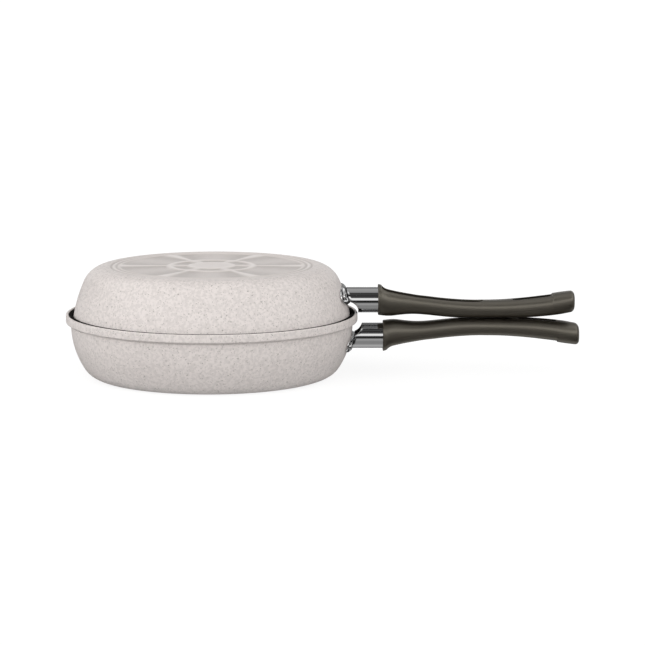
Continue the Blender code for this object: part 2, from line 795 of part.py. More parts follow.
def add_grip(half, material):
    grip = half.place("handle_grip", grip_mesh(), material, (half.collar_x, 0, 0))
    base = (half.collar_x, 0, 0)
    half.cut(grip, "channel", channel_mesh(), base)
    half.cut(grip, "hang_slot", slot_mesh(), base)
    half.cut(grip, "socket", socket_mesh(), base)
    start, turn, length = screw_frame()
    floor = length - counterbore_depth()
    bore, wide = SCREW_RADIUS + GAP, WASHER_RADIUS + COUNTERBORE_PLAY
    profile = [
        (0, 0),
        (bore, 0),
        (bore, floor),
        (wide, floor),
        (wide, length + wide),
        (0, length + wide),
    ]
    place = Vector(base) + start
    half.cut(grip, "screw_bore", turned_mesh("screw_bore", profile, SMALL_SEGMENTS), place, turn)


def add_tie_screw(half, bracket, material):
    """The screw in its bore, its two washers and the tapped hole in the neck."""
    start, turn, length = screw_frame()
    place = Vector((half.collar_x, 0, 0)) + start
    floor = length - counterbore_depth()
    washer_low = floor + GAP
    spring_low = washer_low + WASHER_THICKNESS + GAP
    head_low = spring_low + SPRING_THICKNESS + GAP
    head_high = head_low + SCREW_HEAD_HEIGHT
    profile = [
        (0, -SCREW_GRIP_IN_NECK),
        (SCREW_RADIUS - SCREW_EDGE, -SCREW_GRIP_IN_NECK),
        (SCREW_RADIUS, -SCREW_GRIP_IN_NECK + SCREW_EDGE),
        (SCREW_RADIUS, head_low),
        (SCREW_HEAD_RADIUS, head_low),
        (SCREW_HEAD_RADIUS, head_high - SCREW_EDGE),
        (SCREW_HEAD_RADIUS - SCREW_EDGE, head_high),
        (0, head_high),
    ]
    screw = half.place(
        "tie_screw", turned_mesh("tie_screw", profile, SMALL_SEGMENTS), material, place, turn
    )
    socket = turned_mesh(
        "screw_socket",
        cylinder_profile(SCREW_SOCKET_RADIUS, head_high - SCREW_SOCKET_DEPTH, head_high + OVERRUN),
        SCREW_SOCKET_SIDES,
    )
    half.cut(screw, "screw_socket", socket, place, turn)

    hole = SCREW_RADIUS + GAP
    ring = [
        (hole, washer_low),
        (WASHER_RADIUS, washer_low),
        (WASHER_RADIUS, washer_low + WASHER_THICKNESS),
        (hole, washer_low + WASHER_THICKNESS),
    ]
    washer = turned_mesh("flat_washer", ring, SMALL_SEGMENTS, closed=True)
    half.place("flat_washer", washer, material, place, turn)
    spring = spring_washer_mesh(spring_low)
    half.place("spring_washer", spring, material, place, turn)

    thread = cylinder_profile(hole, -NECK_BORE_DEPTH, SOCKET_DEPTH + OVERRUN)
    tapped = turned_mesh("tapped_hole", thread, SMALL_SEGMENTS)
    half.cut(bracket, "tapped_hole", tapped, place, turn)


def spring_washer_mesh(low):
    """A split ring of square wire."""
    shape = bmesh.new()
    hole = SCREW_RADIUS + GAP
    outer = hole + SPRING_THICKNESS
    high = low + SPRING_THICKNESS
    rings = []
    for step in range(SMALL_SEGMENTS + 1):
        angle = lerp(SPRING_SPLIT / 2, math.tau - SPRING_SPLIT / 2, step / SMALL_SEGMENTS)
        corners = ((hole, low), (outer, low), (outer, high), (hole, high))
        points = [(r * math.cos(angle), r * math.sin(angle), z) for r, z in corners]
        rings.append(add_ring(shape, points))
    close_ends(shape, rings)
    return finish_mesh("spring_washer", shape)


def build():
    clear_scene()
    coating = make_material("speckled_coating", (0.60, 0.56, 0.53), 0.0, 0.38)
    chrome = make_material("bracket_chrome", (0.75, 0.75, 0.75), 1.0, 0.08)
    polished = make_material("ferrule_steel", (0.62, 0.62, 0.62), 1.0, 0.14)
    fixings = make_material("fixing_steel", (0.55, 0.55, 0.55), 1.0, 0.30)
    moulding = make_material("grip_moulding", (0.050, 0.044, 0.038), 0.0, 0.45)
    rubber = make_material("seal_rubber", (0.020, 0.020, 0.020), 0.0, 0.55)

    lower = Half("lower", LOWER_FORM, MEETING_HEIGHT, turned_over=True)
    upper = Half("upper", UPPER_FORM, UPPER_BASE_HEIGHT - MEETING_HEIGHT, turned_over=False)
    for half, profile in ((lower, lower_profile()), (upper, upper_profile())):
        shell = add_shell(half, profile, coating)
        bracket = add_bracket(half, chrome)
        add_rivets(half, shell, bracket, fixings)
        add_ferrule(half, upper.collar_x, polished)
        add_grip(half, moulding)
        add_tie_screw(half, bracket, fixings)
    add_seal(lower, rubber)


build()
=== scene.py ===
"""The dressed double sided flip pan: finer pieces, materials and a studio round the CAD frame.

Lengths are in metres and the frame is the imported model's own: the origin is the centre of the
lower pan's base, +Z is up and the handles point along +X. The names and values that shape a
piece are the source's own, because this script reads nothing but the frame.
"""

import math
from bisect import bisect_right

import bmesh
import bpy
import numpy as np
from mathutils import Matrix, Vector


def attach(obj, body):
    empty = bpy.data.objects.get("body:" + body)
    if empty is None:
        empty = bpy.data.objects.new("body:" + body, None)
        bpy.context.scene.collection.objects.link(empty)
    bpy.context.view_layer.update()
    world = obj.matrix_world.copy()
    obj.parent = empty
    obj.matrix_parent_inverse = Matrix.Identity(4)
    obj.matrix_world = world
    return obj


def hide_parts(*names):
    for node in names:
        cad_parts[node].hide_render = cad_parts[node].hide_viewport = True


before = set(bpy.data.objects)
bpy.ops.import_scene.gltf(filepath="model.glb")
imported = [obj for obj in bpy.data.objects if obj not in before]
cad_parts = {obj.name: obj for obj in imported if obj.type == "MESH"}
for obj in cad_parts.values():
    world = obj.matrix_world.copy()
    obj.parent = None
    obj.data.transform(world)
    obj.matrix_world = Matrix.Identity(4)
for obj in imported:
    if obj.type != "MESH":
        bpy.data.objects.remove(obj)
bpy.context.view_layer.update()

# The source's values
PAN_RADIUS = 0.12405
LOWER_WALL_HEIGHT = 0.0452
SHELL_WALL = 0.0028
LIP_STEP = 0.0042
LIP_WALL = 0.0023
LIP_HEIGHT = 0.0087
LIP_CHAMFER = 0.0024
LEDGE_RISE = 0.0021
UPPER_DEPTH = 0.0466
RIM_PLAY = 0.0035
SEAL_SINK = 0.0002
SEAL_ROUND = 0.0005
MEETING_RISE = 0.00195
HANDLE_AXIS = 0.0153
COLLAR_STANDOFF = 0.02667
GAP = 0.0003

RELIEF_DEPTH = 0.0008
SPOKE_COUNT = 6

SADDLE_HALF_WIDTH = 0.0310
SADDLE_HALF_HEIGHT = 0.0072
SADDLE_RISE = 0.0053
SADDLE_EDGE = 0.0012
SADDLE_CROWN = 0.0024
NECK_SIDE_PLAY = 0.0015
NECK_HEIGHT_PLAY = 0.0024
NECK_DROP = 0.0020
NECK_ROOT = (0.0088, 0.0048)
NECK_ROOT_DROP = 0.0012

RIVET_SPREAD = 0.0253
RIVET_SHANK_RADIUS = 0.0022
RIVET_HEAD_RADIUS = 0.0035
RIVET_HEAD_HEIGHT = 0.0015
RIVET_INNER_RADIUS = 0.0046
RIVET_INNER_HEIGHT = 0.0012
RIVET_INNER_BEVEL = 0.0006

FERRULE_HALF_WIDTH = 0.0123
FERRULE_HALF_HEIGHT = 0.0108
FERRULE_WALL = 0.0010
SCALLOP_RADIUS = 0.0088
SCALLOP_DROP = 0.0018
LIP_CLEARANCE = 0.0004
# The lower ferrule has no lip to clear, and its cut is a little further in and rounder.
LOWER_SCALLOP = (0.1178, 0.0042, 0.0100)

GRIP_LENGTH = 0.16695
GRIP_RISE = 0.0285
GRIP_HALF_WIDTH = 0.0142
GRIP_MEETING_GAP = 0.0003
SOCKET_DEPTH = 0.0024
COLLAR_ROUND = 0.0007
TIP_ROUND = 0.0032
TIP_PAD = 0.0009
TIP_PAD_RUN = 0.0009
OUTER_FULLNESS = 2.7
INNER_FULLNESS = 2.3
# Station along the grip, then outer height, inner height and width, all as shares.
GRIP_OUTLINE = (
    (0.000, 1.000, 0.080, 0.979), (0.016, 0.976, 0.070, 1.000), (0.028, 0.925, 0.062, 0.979),
    (0.043, 0.875, 0.054, 0.944), (0.070, 0.836, 0.056, 0.901), (0.110, 0.785, 0.084, 0.859),
    (0.160, 0.730, 0.108, 0.824), (0.205, 0.686, 0.106, 0.796), (0.255, 0.651, 0.082, 0.782),
    (0.315, 0.606, 0.044, 0.775), (0.380, 0.567, 0.010, 0.778), (0.450, 0.537, 0.000, 0.789),
    (0.530, 0.525, 0.000, 0.810), (0.610, 0.532, 0.000, 0.845), (0.690, 0.560, 0.000, 0.887),
    (0.760, 0.597, 0.008, 0.923), (0.820, 0.638, 0.032, 0.951), (0.875, 0.678, 0.064, 0.965),
    (0.930, 0.728, 0.106, 0.958), (0.970, 0.758, 0.150, 0.915), (1.000, 0.778, 0.185, 0.838),
)
CHANNEL_START = 0.0034
CHANNEL_LENGTH = 0.0862
CHANNEL_START_HALF_WIDTH = 0.0080
CHANNEL_END_HALF_WIDTH = 0.0062
CHANNEL_DEPTH = 0.0031
CHANNEL_START_ROUND = 0.0016
SLOT_LENGTH = 0.0336
SLOT_HALF_WIDTH = 0.0050
SLOT_TO_TIP = 0.0190
SCREW_START_HEIGHT = 0.0113
SCREW_END_HEIGHT = 0.0072
SCREW_BORE = 0.0028
COUNTERBORE_RADIUS = 0.0047
COUNTERBORE_DEPTH = 0.0066

# Fineness of the dressed pieces
SHELL_SEGMENTS = 240
SECTION_POINTS = 96
FERRULE_POINTS = 160
SMALL_SEGMENTS = 48
CORNER_ARC_STEPS, WALL_ARC_STEPS = 14, 16
SMOOTH_ANGLE = math.radians(38.0)
MERGE = 1e-6
TINY = 1e-9
QUARTER = math.pi / 2


def smooth(low, high, value):
    """Rises smoothly from 0 to 1 as the value goes from low to high."""
    share = np.clip((value - low) / (high - low), 0, 1)
    return share * share * (3 - 2 * share)


def lerp(low, high, share):
    """The value at a share of the way from low to high."""
    return low + (high - low) * share


def arc(centre, half_sizes, turns, steps):
    """Points along an oval from one angle to another, both ends among them."""
    (x, y), (wide, high) = centre, half_sizes
    angles = [lerp(*turns, step / steps) for step in range(steps + 1)]
    return [(x + wide * math.cos(angle), y + high * math.sin(angle)) for angle in angles]


def table_value(rows, column, place):
    """Reads a column of a table along its first column, on a smooth curve through the rows."""
    places = [row[0] for row in rows]
    index = min(max(bisect_right(places, place) - 1, 0), len(rows) - 2)

    def slope(at):
        before, after = max(at - 1, 0), min(at + 1, len(rows) - 1)
        return (rows[after][column] - rows[before][column]) / (places[after] - places[before])

    span = places[index + 1] - places[index]
    share = (place - places[index]) / span
    start, end = rows[index][column], rows[index + 1][column]
    square, cube = share * share, share * share * share
    return (
        start * (2 * cube - 3 * square + 1)
        + end * (3 * square - 2 * cube)
        + slope(index) * span * (cube - 2 * square + share)
        + slope(index + 1) * span * (cube - square)
    )


class PanForm:
    """The outside of a pan, as in the source: a corner arc and a wall arc that meets it."""

    def __init__(self, rim_radius, rim_height, base_inset, corner, draft):
        lean, rise = math.cos(draft), math.sin(draft)
        self.corner = corner
        self.flat_radius = rim_radius - base_inset
        climb = rim_height - corner
        free = base_inset * lean - climb * rise - corner
        self.wall = (base_inset**2 + climb**2 - corner**2) / (2 * free)
        self.wall_x = rim_radius - self.wall * lean
        self.wall_z = rim_height + self.wall * rise
        self.turn = math.atan2(corner - self.wall_z, self.flat_radius - self.wall_x)
        self.end_turn = -draft

    def radius_at(self, height, offset=0.0):
        return self.wall_x + math.sqrt((self.wall + offset) ** 2 - (self.wall_z - height) ** 2)

    def slope_at(self, height):
        return math.asin((self.wall_z - height) / self.wall)

    def arcs(self, offset=0.0):
        """Points from the edge of the flat base up to the rim, moved outwards by the offset."""
        sizes, turns = 2 * [self.corner + offset], (-QUARTER, self.turn)
        corner = arc((self.flat_radius, self.corner), sizes, turns, CORNER_ARC_STEPS)
        sizes, turns = 2 * [self.wall + offset], (self.turn, self.end_turn)
        return corner[:-1] + arc((self.wall_x, self.wall_z), sizes, turns, WALL_ARC_STEPS)


LOWER_WALL_RADIUS = PAN_RADIUS - LIP_STEP
LIP_INNER_RADIUS = PAN_RADIUS - LIP_WALL
LIP_TOP = LOWER_WALL_HEIGHT + LIP_HEIGHT
LEDGE_HEIGHT = LOWER_WALL_HEIGHT + LEDGE_RISE
MEETING_HEIGHT = LEDGE_HEIGHT + MEETING_RISE
UPPER_RIM_RADIUS = LIP_INNER_RADIUS - RIM_PLAY
UPPER_BASE_HEIGHT = LEDGE_HEIGHT + GAP + UPPER_DEPTH
LOWER_FORM = PanForm(LOWER_WALL_RADIUS, LOWER_WALL_HEIGHT, 0.0258, 0.0178, 0.0)
UPPER_FORM = PanForm(UPPER_RIM_RADIUS, UPPER_DEPTH, 0.0292, 0.0213, math.radians(7.5))


class Half:
    """One half of the pan. Its own frame lies on the meeting plane, +Z away from the other."""

    def __init__(self, name, form, base_height, side):
        self.name = name
        self.body = name + "_pan"
        self.form = form
        self.base_height = base_height
        self.side = side
        self.wall_x = self.wall_radius(HANDLE_AXIS)
        self.collar_x = self.wall_x + COLLAR_STANDOFF

    def wall_radius(self, height, offset=0.0):
        return self.form.radius_at(self.base_height - height, offset)

    def world(self, points):
        """Turns points of the half's frame into the world's."""
        return points * (1, self.side, self.side) + (0, 0, MEETING_HEIGHT)


LOWER = Half("lower", LOWER_FORM, MEETING_HEIGHT, -1)
UPPER = Half("upper", UPPER_FORM, UPPER_BASE_HEIGHT - MEETING_HEIGHT, 1)


class Skin:
    """Collects points in rows and the faces between them."""

    def __init__(self):
        self.points = []
        self.faces = []

    def row(self, points):
        start = len(self.points)
        self.points.extend(tuple(point) for point in points)
        return list(range(start, len(self.points)))

    def strips(self, rows, closed=False):
        """Joins each row to the next by quads. A row of one point is a pole."""
        for first, second in zip(rows, rows[1:]):
            count = max(len(first), len(second))
            for step in range(count if closed else count - 1):
                after = (step + 1) % count
                pairs = ((first, step), (first, after), (second, after), (second, step))
                corners = [row[place % len(row)] for row, place in pairs]
                self.faces.append(list(dict.fromkeys(corners)))

    def mesh(self, name, place=np.asarray):
        """Makes a clean mesh of it, its points first put through the place function."""
        points = place(np.asarray(self.points, float))
        mesh = bpy.data.meshes.new(name)
        mesh.from_pydata(points.tolist(), [], self.faces)
        shape = bmesh.new()
        shape.from_mesh(mesh)
        bmesh.ops.remove_doubles(shape, verts=shape.verts, dist=MERGE)
        bmesh.ops.dissolve_degenerate(shape, edges=shape.edges, dist=MERGE)
        bmesh.ops.recalc_face_normals(shape, faces=shape.faces)
        shape.to_mesh(mesh)
        shape.free()
        mesh.shade_smooth()
        mesh.set_sharp_from_angle(angle=SMOOTH_ANGLE)
        return mesh


def circle(radius, height, count):
    """Points round +Z. The height is one number or one for each point."""
    angles = np.arange(count) * math.tau / count
    heights = np.broadcast_to(height, count)
    return np.stack([radius * np.cos(angles), radius * np.sin(angles), heights], axis=1)


def set_attributes(mesh, names, values_at):
    """Gives every point of a mesh the values at its place, which its material reads."""
    columns = zip(*(values_at(vertex.co) for vertex in mesh.vertices))
    for name, values in zip(names, columns):
        attribute = mesh.attributes.new(name, "FLOAT", "POINT")
        attribute.data.foreach_set("value", [float(value) for value in values])


def add_object(name, data):
    made = bpy.data.objects.new(name, data)
    bpy.context.collection.objects.link(made)
    return made


def add_piece(half, name, mesh, material):
    """Shows a mesh in place of the CAD node of the same name, riding on its half's body."""
    mesh.materials.clear()
    mesh.materials.append(material)
    node = half.name + "_" + name
    piece = add_object(node + "_dressed", mesh)
    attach(piece, half.body)
    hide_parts(node)


# ---------------------------------------------------------------- shells

# Rings of points, as shares of the radius of the flat base outside and inside the shell.
BASE_RING_SHARES = (0.07, 0.14, *np.linspace(0.21, 0.99, 79))
INSIDE_RING_SHARES = (0.85, 0.6, 0.3, 0.1)
# Where the relief's ring of dimples and its sectors rise and end, in the same shares.
DIMPLES_START, DIMPLES_END = (0.222, 0.250), (0.350, 0.380)
SECTORS_START, SECTORS_END = (0.412, 0.445), (0.850, 0.880)
DIMPLE_BRIDGE = (math.radians(5), math.radians(13))
SPOKE_PLACES, SPOKE_HALF_WIDTHS = (0.42, 0.60, 0.86), (0.036, 0.066, 0.130)
# The centre and the half width of each groove and crest.
GROOVES = ((0.905, 0.013), (0.957, 0.013))
# The crests are not raised: they only take a painted highlight.
CRESTS = ((0.931, 0.011), (0.212, 0.012), (0.396, 0.016))
SPECKLE_START = (0.965, 0.995)
# The corners of the lower shell's lip and the upper shell's rim, from outside to inside, and
# how far each is rounded, with the point before them and the one after them.
LIP_FOOT_RISE, LIP_CHAMFER_DROP = 0.0002, 0.0004
LIP_CORNERS = (
    (LOWER_WALL_RADIUS, LOWER_WALL_HEIGHT + LIP_FOOT_RISE),
    (PAN_RADIUS, LOWER_WALL_HEIGHT + LIP_CHAMFER - LIP_CHAMFER_DROP),
    (PAN_RADIUS, LIP_TOP), (LIP_INNER_RADIUS, LIP_TOP), (LIP_INNER_RADIUS, LEDGE_HEIGHT),
    (LOWER_WALL_RADIUS - SHELL_WALL, LEDGE_HEIGHT),
)
LIP_ROUNDS = (0, 0.0009, 0.0012, 0.0009, 0.0008, 0.0005, 0.0007, 0)
RIM_CORNERS = [(UPPER_FORM.arcs(offset)[-1][0], UPPER_DEPTH) for offset in (0, -SHELL_WALL)]
RIM_ROUNDS = (0, 0.0009, 0.0009, 0)


def bells(share, rows):
    """The sum of smooth bumps at the rows' centres, each 1 high."""
    return sum(np.exp(-(((share - centre) / width) ** 2)) for centre, width in rows)


def relief(share, angle):
    """How deep the base is pressed at a share of its flat radius and an angle, 0 to 1.

    A round hub, a ring of six dimples bridged at the spokes, a ridge, six sectors between
    spokes that fan outwards, and two grooves with a thin ridge between them. It also gives how
    grey the pressing makes the place, with painted shade darkest beside the spokes, and a
    painted highlight on the crests and down the middle of each spoke.
    """
    step = math.tau / SPOKE_COUNT
    off = np.abs((angle + step / 2) % step - step / 2)
    across = share * np.sin(off)
    ring = smooth(*DIMPLES_START, share) * (1 - smooth(*DIMPLES_END, share))
    dimples = ring * smooth(*DIMPLE_BRIDGE, off)
    sector = smooth(*SECTORS_START, share) * (1 - smooth(*SECTORS_END, share))
    half_width = np.interp(share, SPOKE_PLACES, SPOKE_HALF_WIDTHS)
    fan = np.cos(np.clip(across / half_width, 0, 1) * QUARTER) ** 2
    sectors = sector * (1 - fan)
    grooves = bells(share, GROOVES)
    depth = np.maximum(np.maximum(dimples, sectors), grooves)
    # Painted shade: the sectors are greyest beside the spokes.
    beside = np.exp(-(((across - half_width) / (0.05 + 0.14 * share)) ** 2))
    pressed_and_shaded = np.maximum(np.maximum(dimples, sectors * (0.45 + 0.55 * beside)), grooves)
    # Painted highlight: the crests and the middle of each spoke are painted lighter.
    crests = bells(share, CRESTS) + sector * np.clip(2 * fan - 0.5, 0, 1)
    return depth, pressed_and_shaded, np.minimum(crests, 1) * (1 - depth)


def fillet(points, radii, steps=5):
    """Rounds the corners of a path. A radius of 0 leaves its point as it is."""
    made = []
    for index, (point, radius) in enumerate(zip(points, radii)):
        here = Vector(point)
        if radius == 0:
            made.append(tuple(here))
            continue
        back = Vector(points[index - 1]) - here
        on = Vector(points[index + 1]) - here
        half = back.angle(on) / 2
        run = min(radius / math.tan(half), 0.49 * back.length, 0.49 * on.length)
        radius = run * math.tan(half)
        start, end = here + back.normalized() * run, here + on.normalized() * run
        inward = (back.normalized() + on.normalized()).normalized()
        centre = here + inward * radius / math.sin(half)
        first, last = start - centre, end - centre
        sweep = first.angle(last)
        for step in range(steps + 1):
            share = step / steps
            arm = first * math.sin((1 - share) * sweep) + last * math.sin(share * sweep)
            made.append(tuple(centre + arm / math.sin(sweep)))
    return made


def shell_mesh(half, rim, rounds):
    """Turns the shell, base down: its pressed base, its wall, its rim and its inside."""
    skin = Skin()
    flat = half.form.flat_radius
    outer, inner = half.form.arcs(), half.form.arcs(-SHELL_WALL)[::-1]
    angles = np.arange(SHELL_SEGMENTS) * math.tau / SHELL_SEGMENTS
    profile = [
        (flat * share, RELIEF_DEPTH * relief(share, angles)[0]) for share in BASE_RING_SHARES
    ]
    profile += outer[:-2] + fillet([outer[-2], *rim, inner[1]], rounds) + inner[2:]
    profile += [(inner[-1][0] * share, SHELL_WALL) for share in INSIDE_RING_SHARES]
    rows = [skin.row([(0, 0, 0)])]
    rows += [skin.row(circle(radius, height, SHELL_SEGMENTS)) for radius, height in profile]
    rows.append(skin.row([(0, 0, SHELL_WALL)]))
    skin.strips(rows, closed=True)
    base = UPPER_BASE_HEIGHT if half.side > 0 else 0.0

    def placed(points):
        return points * (1, -half.side, -half.side) + (0, 0, base)

    def marks(place):
        height = abs(base - place.z)
        share = math.hypot(place.x, place.y) / flat
        if height >= (RELIEF_DEPTH + SHELL_WALL) / 2 or share >= 1:
            return 0, 0, 0
        # The relief's grey carries painted shade beside the spokes, and its crest highlight is a
        # painted highlight.
        _, pressed_and_shaded, painted_highlight = relief(share, math.atan2(place.y, place.x))
        return 1 - smooth(*SPECKLE_START, share), pressed_and_shaded, painted_highlight

    mesh = skin.mesh(half.name + "_shell", placed)
    set_attributes(mesh, ("bare", "grey", "crest_highlight"), marks)
    return mesh


def seal_mesh():
    """The soft ring in the groove between the upper rim and the lip, its top edges rounded."""
    inner, outer = UPPER_RIM_RADIUS + GAP, LIP_INNER_RADIUS - GAP
    low, high = LEDGE_HEIGHT + GAP, LIP_TOP - SEAL_SINK
    corners = [(inner, low), (inner, high), (outer, high), (outer, low)]
    skin = Skin()
    path = fillet(corners, [0, SEAL_ROUND, SEAL_ROUND, 0])
    rows = [skin.row(circle(radius, height, SHELL_SEGMENTS)) for radius, height in path]
    skin.strips(rows + rows[:1], closed=True)
    return skin.mesh("lower_seal")


# ---------------------------------------------------------------- brackets, rivets, ferrules


def rounded(half_width, half_height, centre, fullness=2):
    """An outline round the handle. A fullness of 2 is an oval, and more is squarer."""
    turns = np.arange(SECTION_POINTS) * math.tau / SECTION_POINTS
    waves = np.stack([np.cos(turns), np.sin(turns)], axis=1)
    shape = np.copysign(np.abs(waves) ** (2 / fullness), waves)
    return shape * (half_width, half_height) + (0, centre)


def saddle_point(half, along, height, offset):
    """A point off the wall's outside, at a distance along the wall from the handle's axis."""
    angle = along / half.wall_x
    radius = half.wall_radius(height) + offset
    return radius * math.cos(angle), radius * math.sin(angle), height


FERRULE_INSIDE = (FERRULE_HALF_WIDTH - FERRULE_WALL, FERRULE_HALF_HEIGHT - FERRULE_WALL)
# How far each loop of the saddle's face lies from its outline to the neck, and how far its
# thickness has gone from the edge's to the crown's.
SADDLE_LOOPS = (
    (0.0, -0.30), (0.004, -0.10), (0.014, 0.08), (0.03, 0.22), (0.06, 0.38), (0.10, 0.52),
    (0.15, 0.65), (0.22, 0.79), (0.32, 0.91), (0.45, 0.98), (0.60, 1.0), (0.75, 1.0),
    (0.88, 1.0),
)
SADDLE_BACK_SHARES = (0.25, 0.5, 0.75, 0.94, 0.985)
# How far out, and how far aside, the bracket turns rough and is painted dark as painted shade.
NECK_SHADE = (0.0010, 0.0030)
SADDLE_SHADE = (0.0122, 0.0145)
# The rows of the neck as shares of its length, where it narrows, and its foot.
NECK_WAYS = (
    0.0, 0.02, 0.05, 0.08, 0.12, 0.16, 0.20, 0.25, 0.30, 0.35, 0.40, 0.45, 0.50, 0.75, 1.0
)
NECK_NARROWS = (0.05, 0.42)
NECK_FOOT, NECK_FOOT_END = 0.0010, 0.05


def bracket_mesh(half):
    skin = Skin()
    middle = HANDLE_AXIS + SADDLE_RISE
    inner_width, inner_height = FERRULE_INSIDE
    root = np.array((*NECK_ROOT, middle - NECK_ROOT_DROP))
    end = (inner_width - NECK_SIDE_PLAY, inner_height - NECK_HEIGHT_PLAY, HANDLE_AXIS - NECK_DROP)
    crown = GAP + SADDLE_CROWN
    outline = rounded(SADDLE_HALF_WIDTH, SADDLE_HALF_HEIGHT, middle, OUTER_FULLNESS)

    def saddle_row(points, offset):
        return skin.row(saddle_point(half, *point, offset) for point in points)

    rows = [saddle_row([(0, middle)], GAP)]
    for share in SADDLE_BACK_SHARES:
        rows.append(saddle_row(lerp(np.array((0, middle)), outline, share), GAP))
    for share, swell in SADDLE_LOOPS:
        thickness = GAP + lerp(SADDLE_EDGE, SADDLE_CROWN, swell)
        rows.append(saddle_row(lerp(outline, rounded(*root), share), thickness))
    neck_end = half.collar_x + SOCKET_DEPTH - GAP
    for way in NECK_WAYS:
        sizes = lerp(root, np.array(end), smooth(*NECK_NARROWS, way))
        sizes[:2] += NECK_FOOT * (1 - smooth(0.0, NECK_FOOT_END, way))
        starts = [saddle_point(half, *point, crown) for point in rounded(*sizes)]
        rows.append(skin.row((lerp(x, neck_end, way), y, z) for x, y, z in starts))
    skin.strips(rows, closed=True)
    skin.faces.append(rows[-1])

    def rough_and_shaded(place):
        """The neck and the saddle round it are rough and painted dark as painted shade, where the
        ferrule hides them.
        """
        out = math.hypot(place.x, place.y) - half.wall_x - crown
        return (max(smooth(*NECK_SHADE, out), 1 - smooth(*SADDLE_SHADE, abs(place.y))),)

    mesh = skin.mesh(half.name + "_bracket", half.world)
    set_attributes(mesh, ["rough_and_shaded"], rough_and_shaded)
    return mesh


def turned(half, name, profile, base, axis):
    """Turns a profile about an axis from the base, both in the half's own frame."""
    turn = axis.to_track_quat("Z", "Y").to_matrix()
    skin = Skin()
    rows = []
    for radius, height in profile:
        points = circle(radius, height, SMALL_SEGMENTS) if radius else [(0, 0, height)]
        rows.append(skin.row(base + turn @ Vector(point) for point in points))
    skin.strips(rows, closed=True)
    return skin.mesh(name, half.world)


RIVET_INNER_EDGE = (2 * RIVET_INNER_BEVEL, 0.8 * RIVET_INNER_HEIGHT)
RIVET_INNER_STEPS, RIVET_HEAD_STEPS = 6, 12


def rivet_mesh(half, side):
    """A rivet square to the wall: a flat head inside, a shank and a domed head outside."""
    height = HANDLE_AXIS + SADDLE_RISE
    angle = side * RIVET_SPREAD / half.wall_x
    tilt = half.form.slope_at(half.base_height - height)
    level = math.cos(tilt)
    outward = Vector((level * math.cos(angle), level * math.sin(angle), math.sin(tilt)))
    base = Vector(saddle_point(half, side * RIVET_SPREAD, height, 0))
    outside = GAP + SADDLE_CROWN + GAP
    inside = -SHELL_WALL - 2 * GAP
    low = inside - RIVET_INNER_HEIGHT
    centre = (RIVET_INNER_RADIUS - RIVET_INNER_EDGE[0], low + RIVET_INNER_EDGE[1])
    head = arc(centre, RIVET_INNER_EDGE, (-QUARTER, 0), RIVET_INNER_STEPS)
    shank = [(RIVET_SHANK_RADIUS, inside), (RIVET_SHANK_RADIUS, outside)]
    sizes = (RIVET_HEAD_RADIUS, RIVET_HEAD_HEIGHT)
    dome = arc((0, outside), sizes, (0, QUARTER), RIVET_HEAD_STEPS)[:-1]
    profile = [(0, low), *head, (RIVET_INNER_RADIUS, inside), *shank, *dome]
    profile.append((0, outside + RIVET_HEAD_HEIGHT))
    return turned(half, half.name + "_rivet", profile, base, outward)


def scallop(half):
    """The place along the handle, the height and the radius of the ferrule's round cut."""
    if half.side < 0:
        return LOWER_SCALLOP
    half_chord = math.sqrt(SCALLOP_RADIUS**2 - SCALLOP_DROP**2)
    along = PAN_RADIUS + LIP_CLEARANCE - half_chord
    return along, HANDLE_AXIS - FERRULE_HALF_HEIGHT + SCALLOP_DROP, SCALLOP_RADIUS


# The rings of the sleeve's cut end, from outside to inside: share of its wall, and distance
# back from the edge.
FERRULE_RINGS = (
    (1, 0.0030), (1, 0.00035), (0.93, 0.00012), (0.75, 0.00002), (0.25, 0.00002),
    (0.07, 0.00012), (0, 0.00035),
)
FERRULE_SHADE = (0.975, 0.995)


def ferrule_mesh(half):
    """The sleeve, each of its lines starting where the wall, the saddle or the scallop ends it."""
    skin = Skin()
    far = half.collar_x + SOCKET_DEPTH - GAP
    edge = HANDLE_AXIS + SADDLE_RISE - SADDLE_HALF_HEIGHT - GAP
    scallop_x, scallop_z, scallop_radius = scallop(half)
    width, height = FERRULE_INSIDE

    def start(across, up):
        offset = GAP + SADDLE_CROWN + GAP if up > edge else GAP
        radius = half.wall_radius(up, offset)
        place = math.sqrt(radius**2 - across**2)
        drop = up - scallop_z
        if abs(drop) < scallop_radius:
            place = max(place, scallop_x + math.sqrt(scallop_radius**2 - drop**2))
        return place

    def ring(share, back, end=None):
        """A ring at a share of the way from the inner face to the outer, back from the edge."""
        half_width = lerp(width, FERRULE_HALF_WIDTH, share)
        half_height = lerp(height, FERRULE_HALF_HEIGHT, share)
        points = []
        for across, up, _ in circle(1, 0, FERRULE_POINTS):
            across, up = half_width * across, HANDLE_AXIS + half_height * up
            points.append((start(across, up) + back if end is None else end, across, up))
        return skin.row(points)

    rows = [ring(1, 0, far), *(ring(*row) for row in FERRULE_RINGS), ring(0, 0, far)]
    skin.strips(rows + rows[:1], closed=True)

    def rough_and_shaded(place):
        """Only the outside is polished. The inside is rough and painted dark as painted shade."""
        rise = abs(place.z - MEETING_HEIGHT) - HANDLE_AXIS
        out = math.hypot(place.y / FERRULE_HALF_WIDTH, rise / FERRULE_HALF_HEIGHT)
        return (1 - smooth(*FERRULE_SHADE, out),)

    mesh = skin.mesh(half.name + "_ferrule", half.world)
    set_attributes(mesh, ["rough_and_shaded"], rough_and_shaded)
    return mesh


# ---------------------------------------------------------------- grips

SLOT_END = GRIP_LENGTH - SLOT_TO_TIP
SLOT_START = SLOT_END - SLOT_LENGTH
CHANNEL_END = CHANNEL_START + CHANNEL_LENGTH
CHANNEL_END_CENTRE = CHANNEL_END - CHANNEL_END_HALF_WIDTH
# The tip's rounding stops where the source's does, short of a full quarter turn.
TIP_TURN = 0.95 * QUARTER
TIP_END = GRIP_LENGTH - TIP_ROUND * (1 - math.sin(TIP_TURN))
SLOT_FILLET = 0.0008
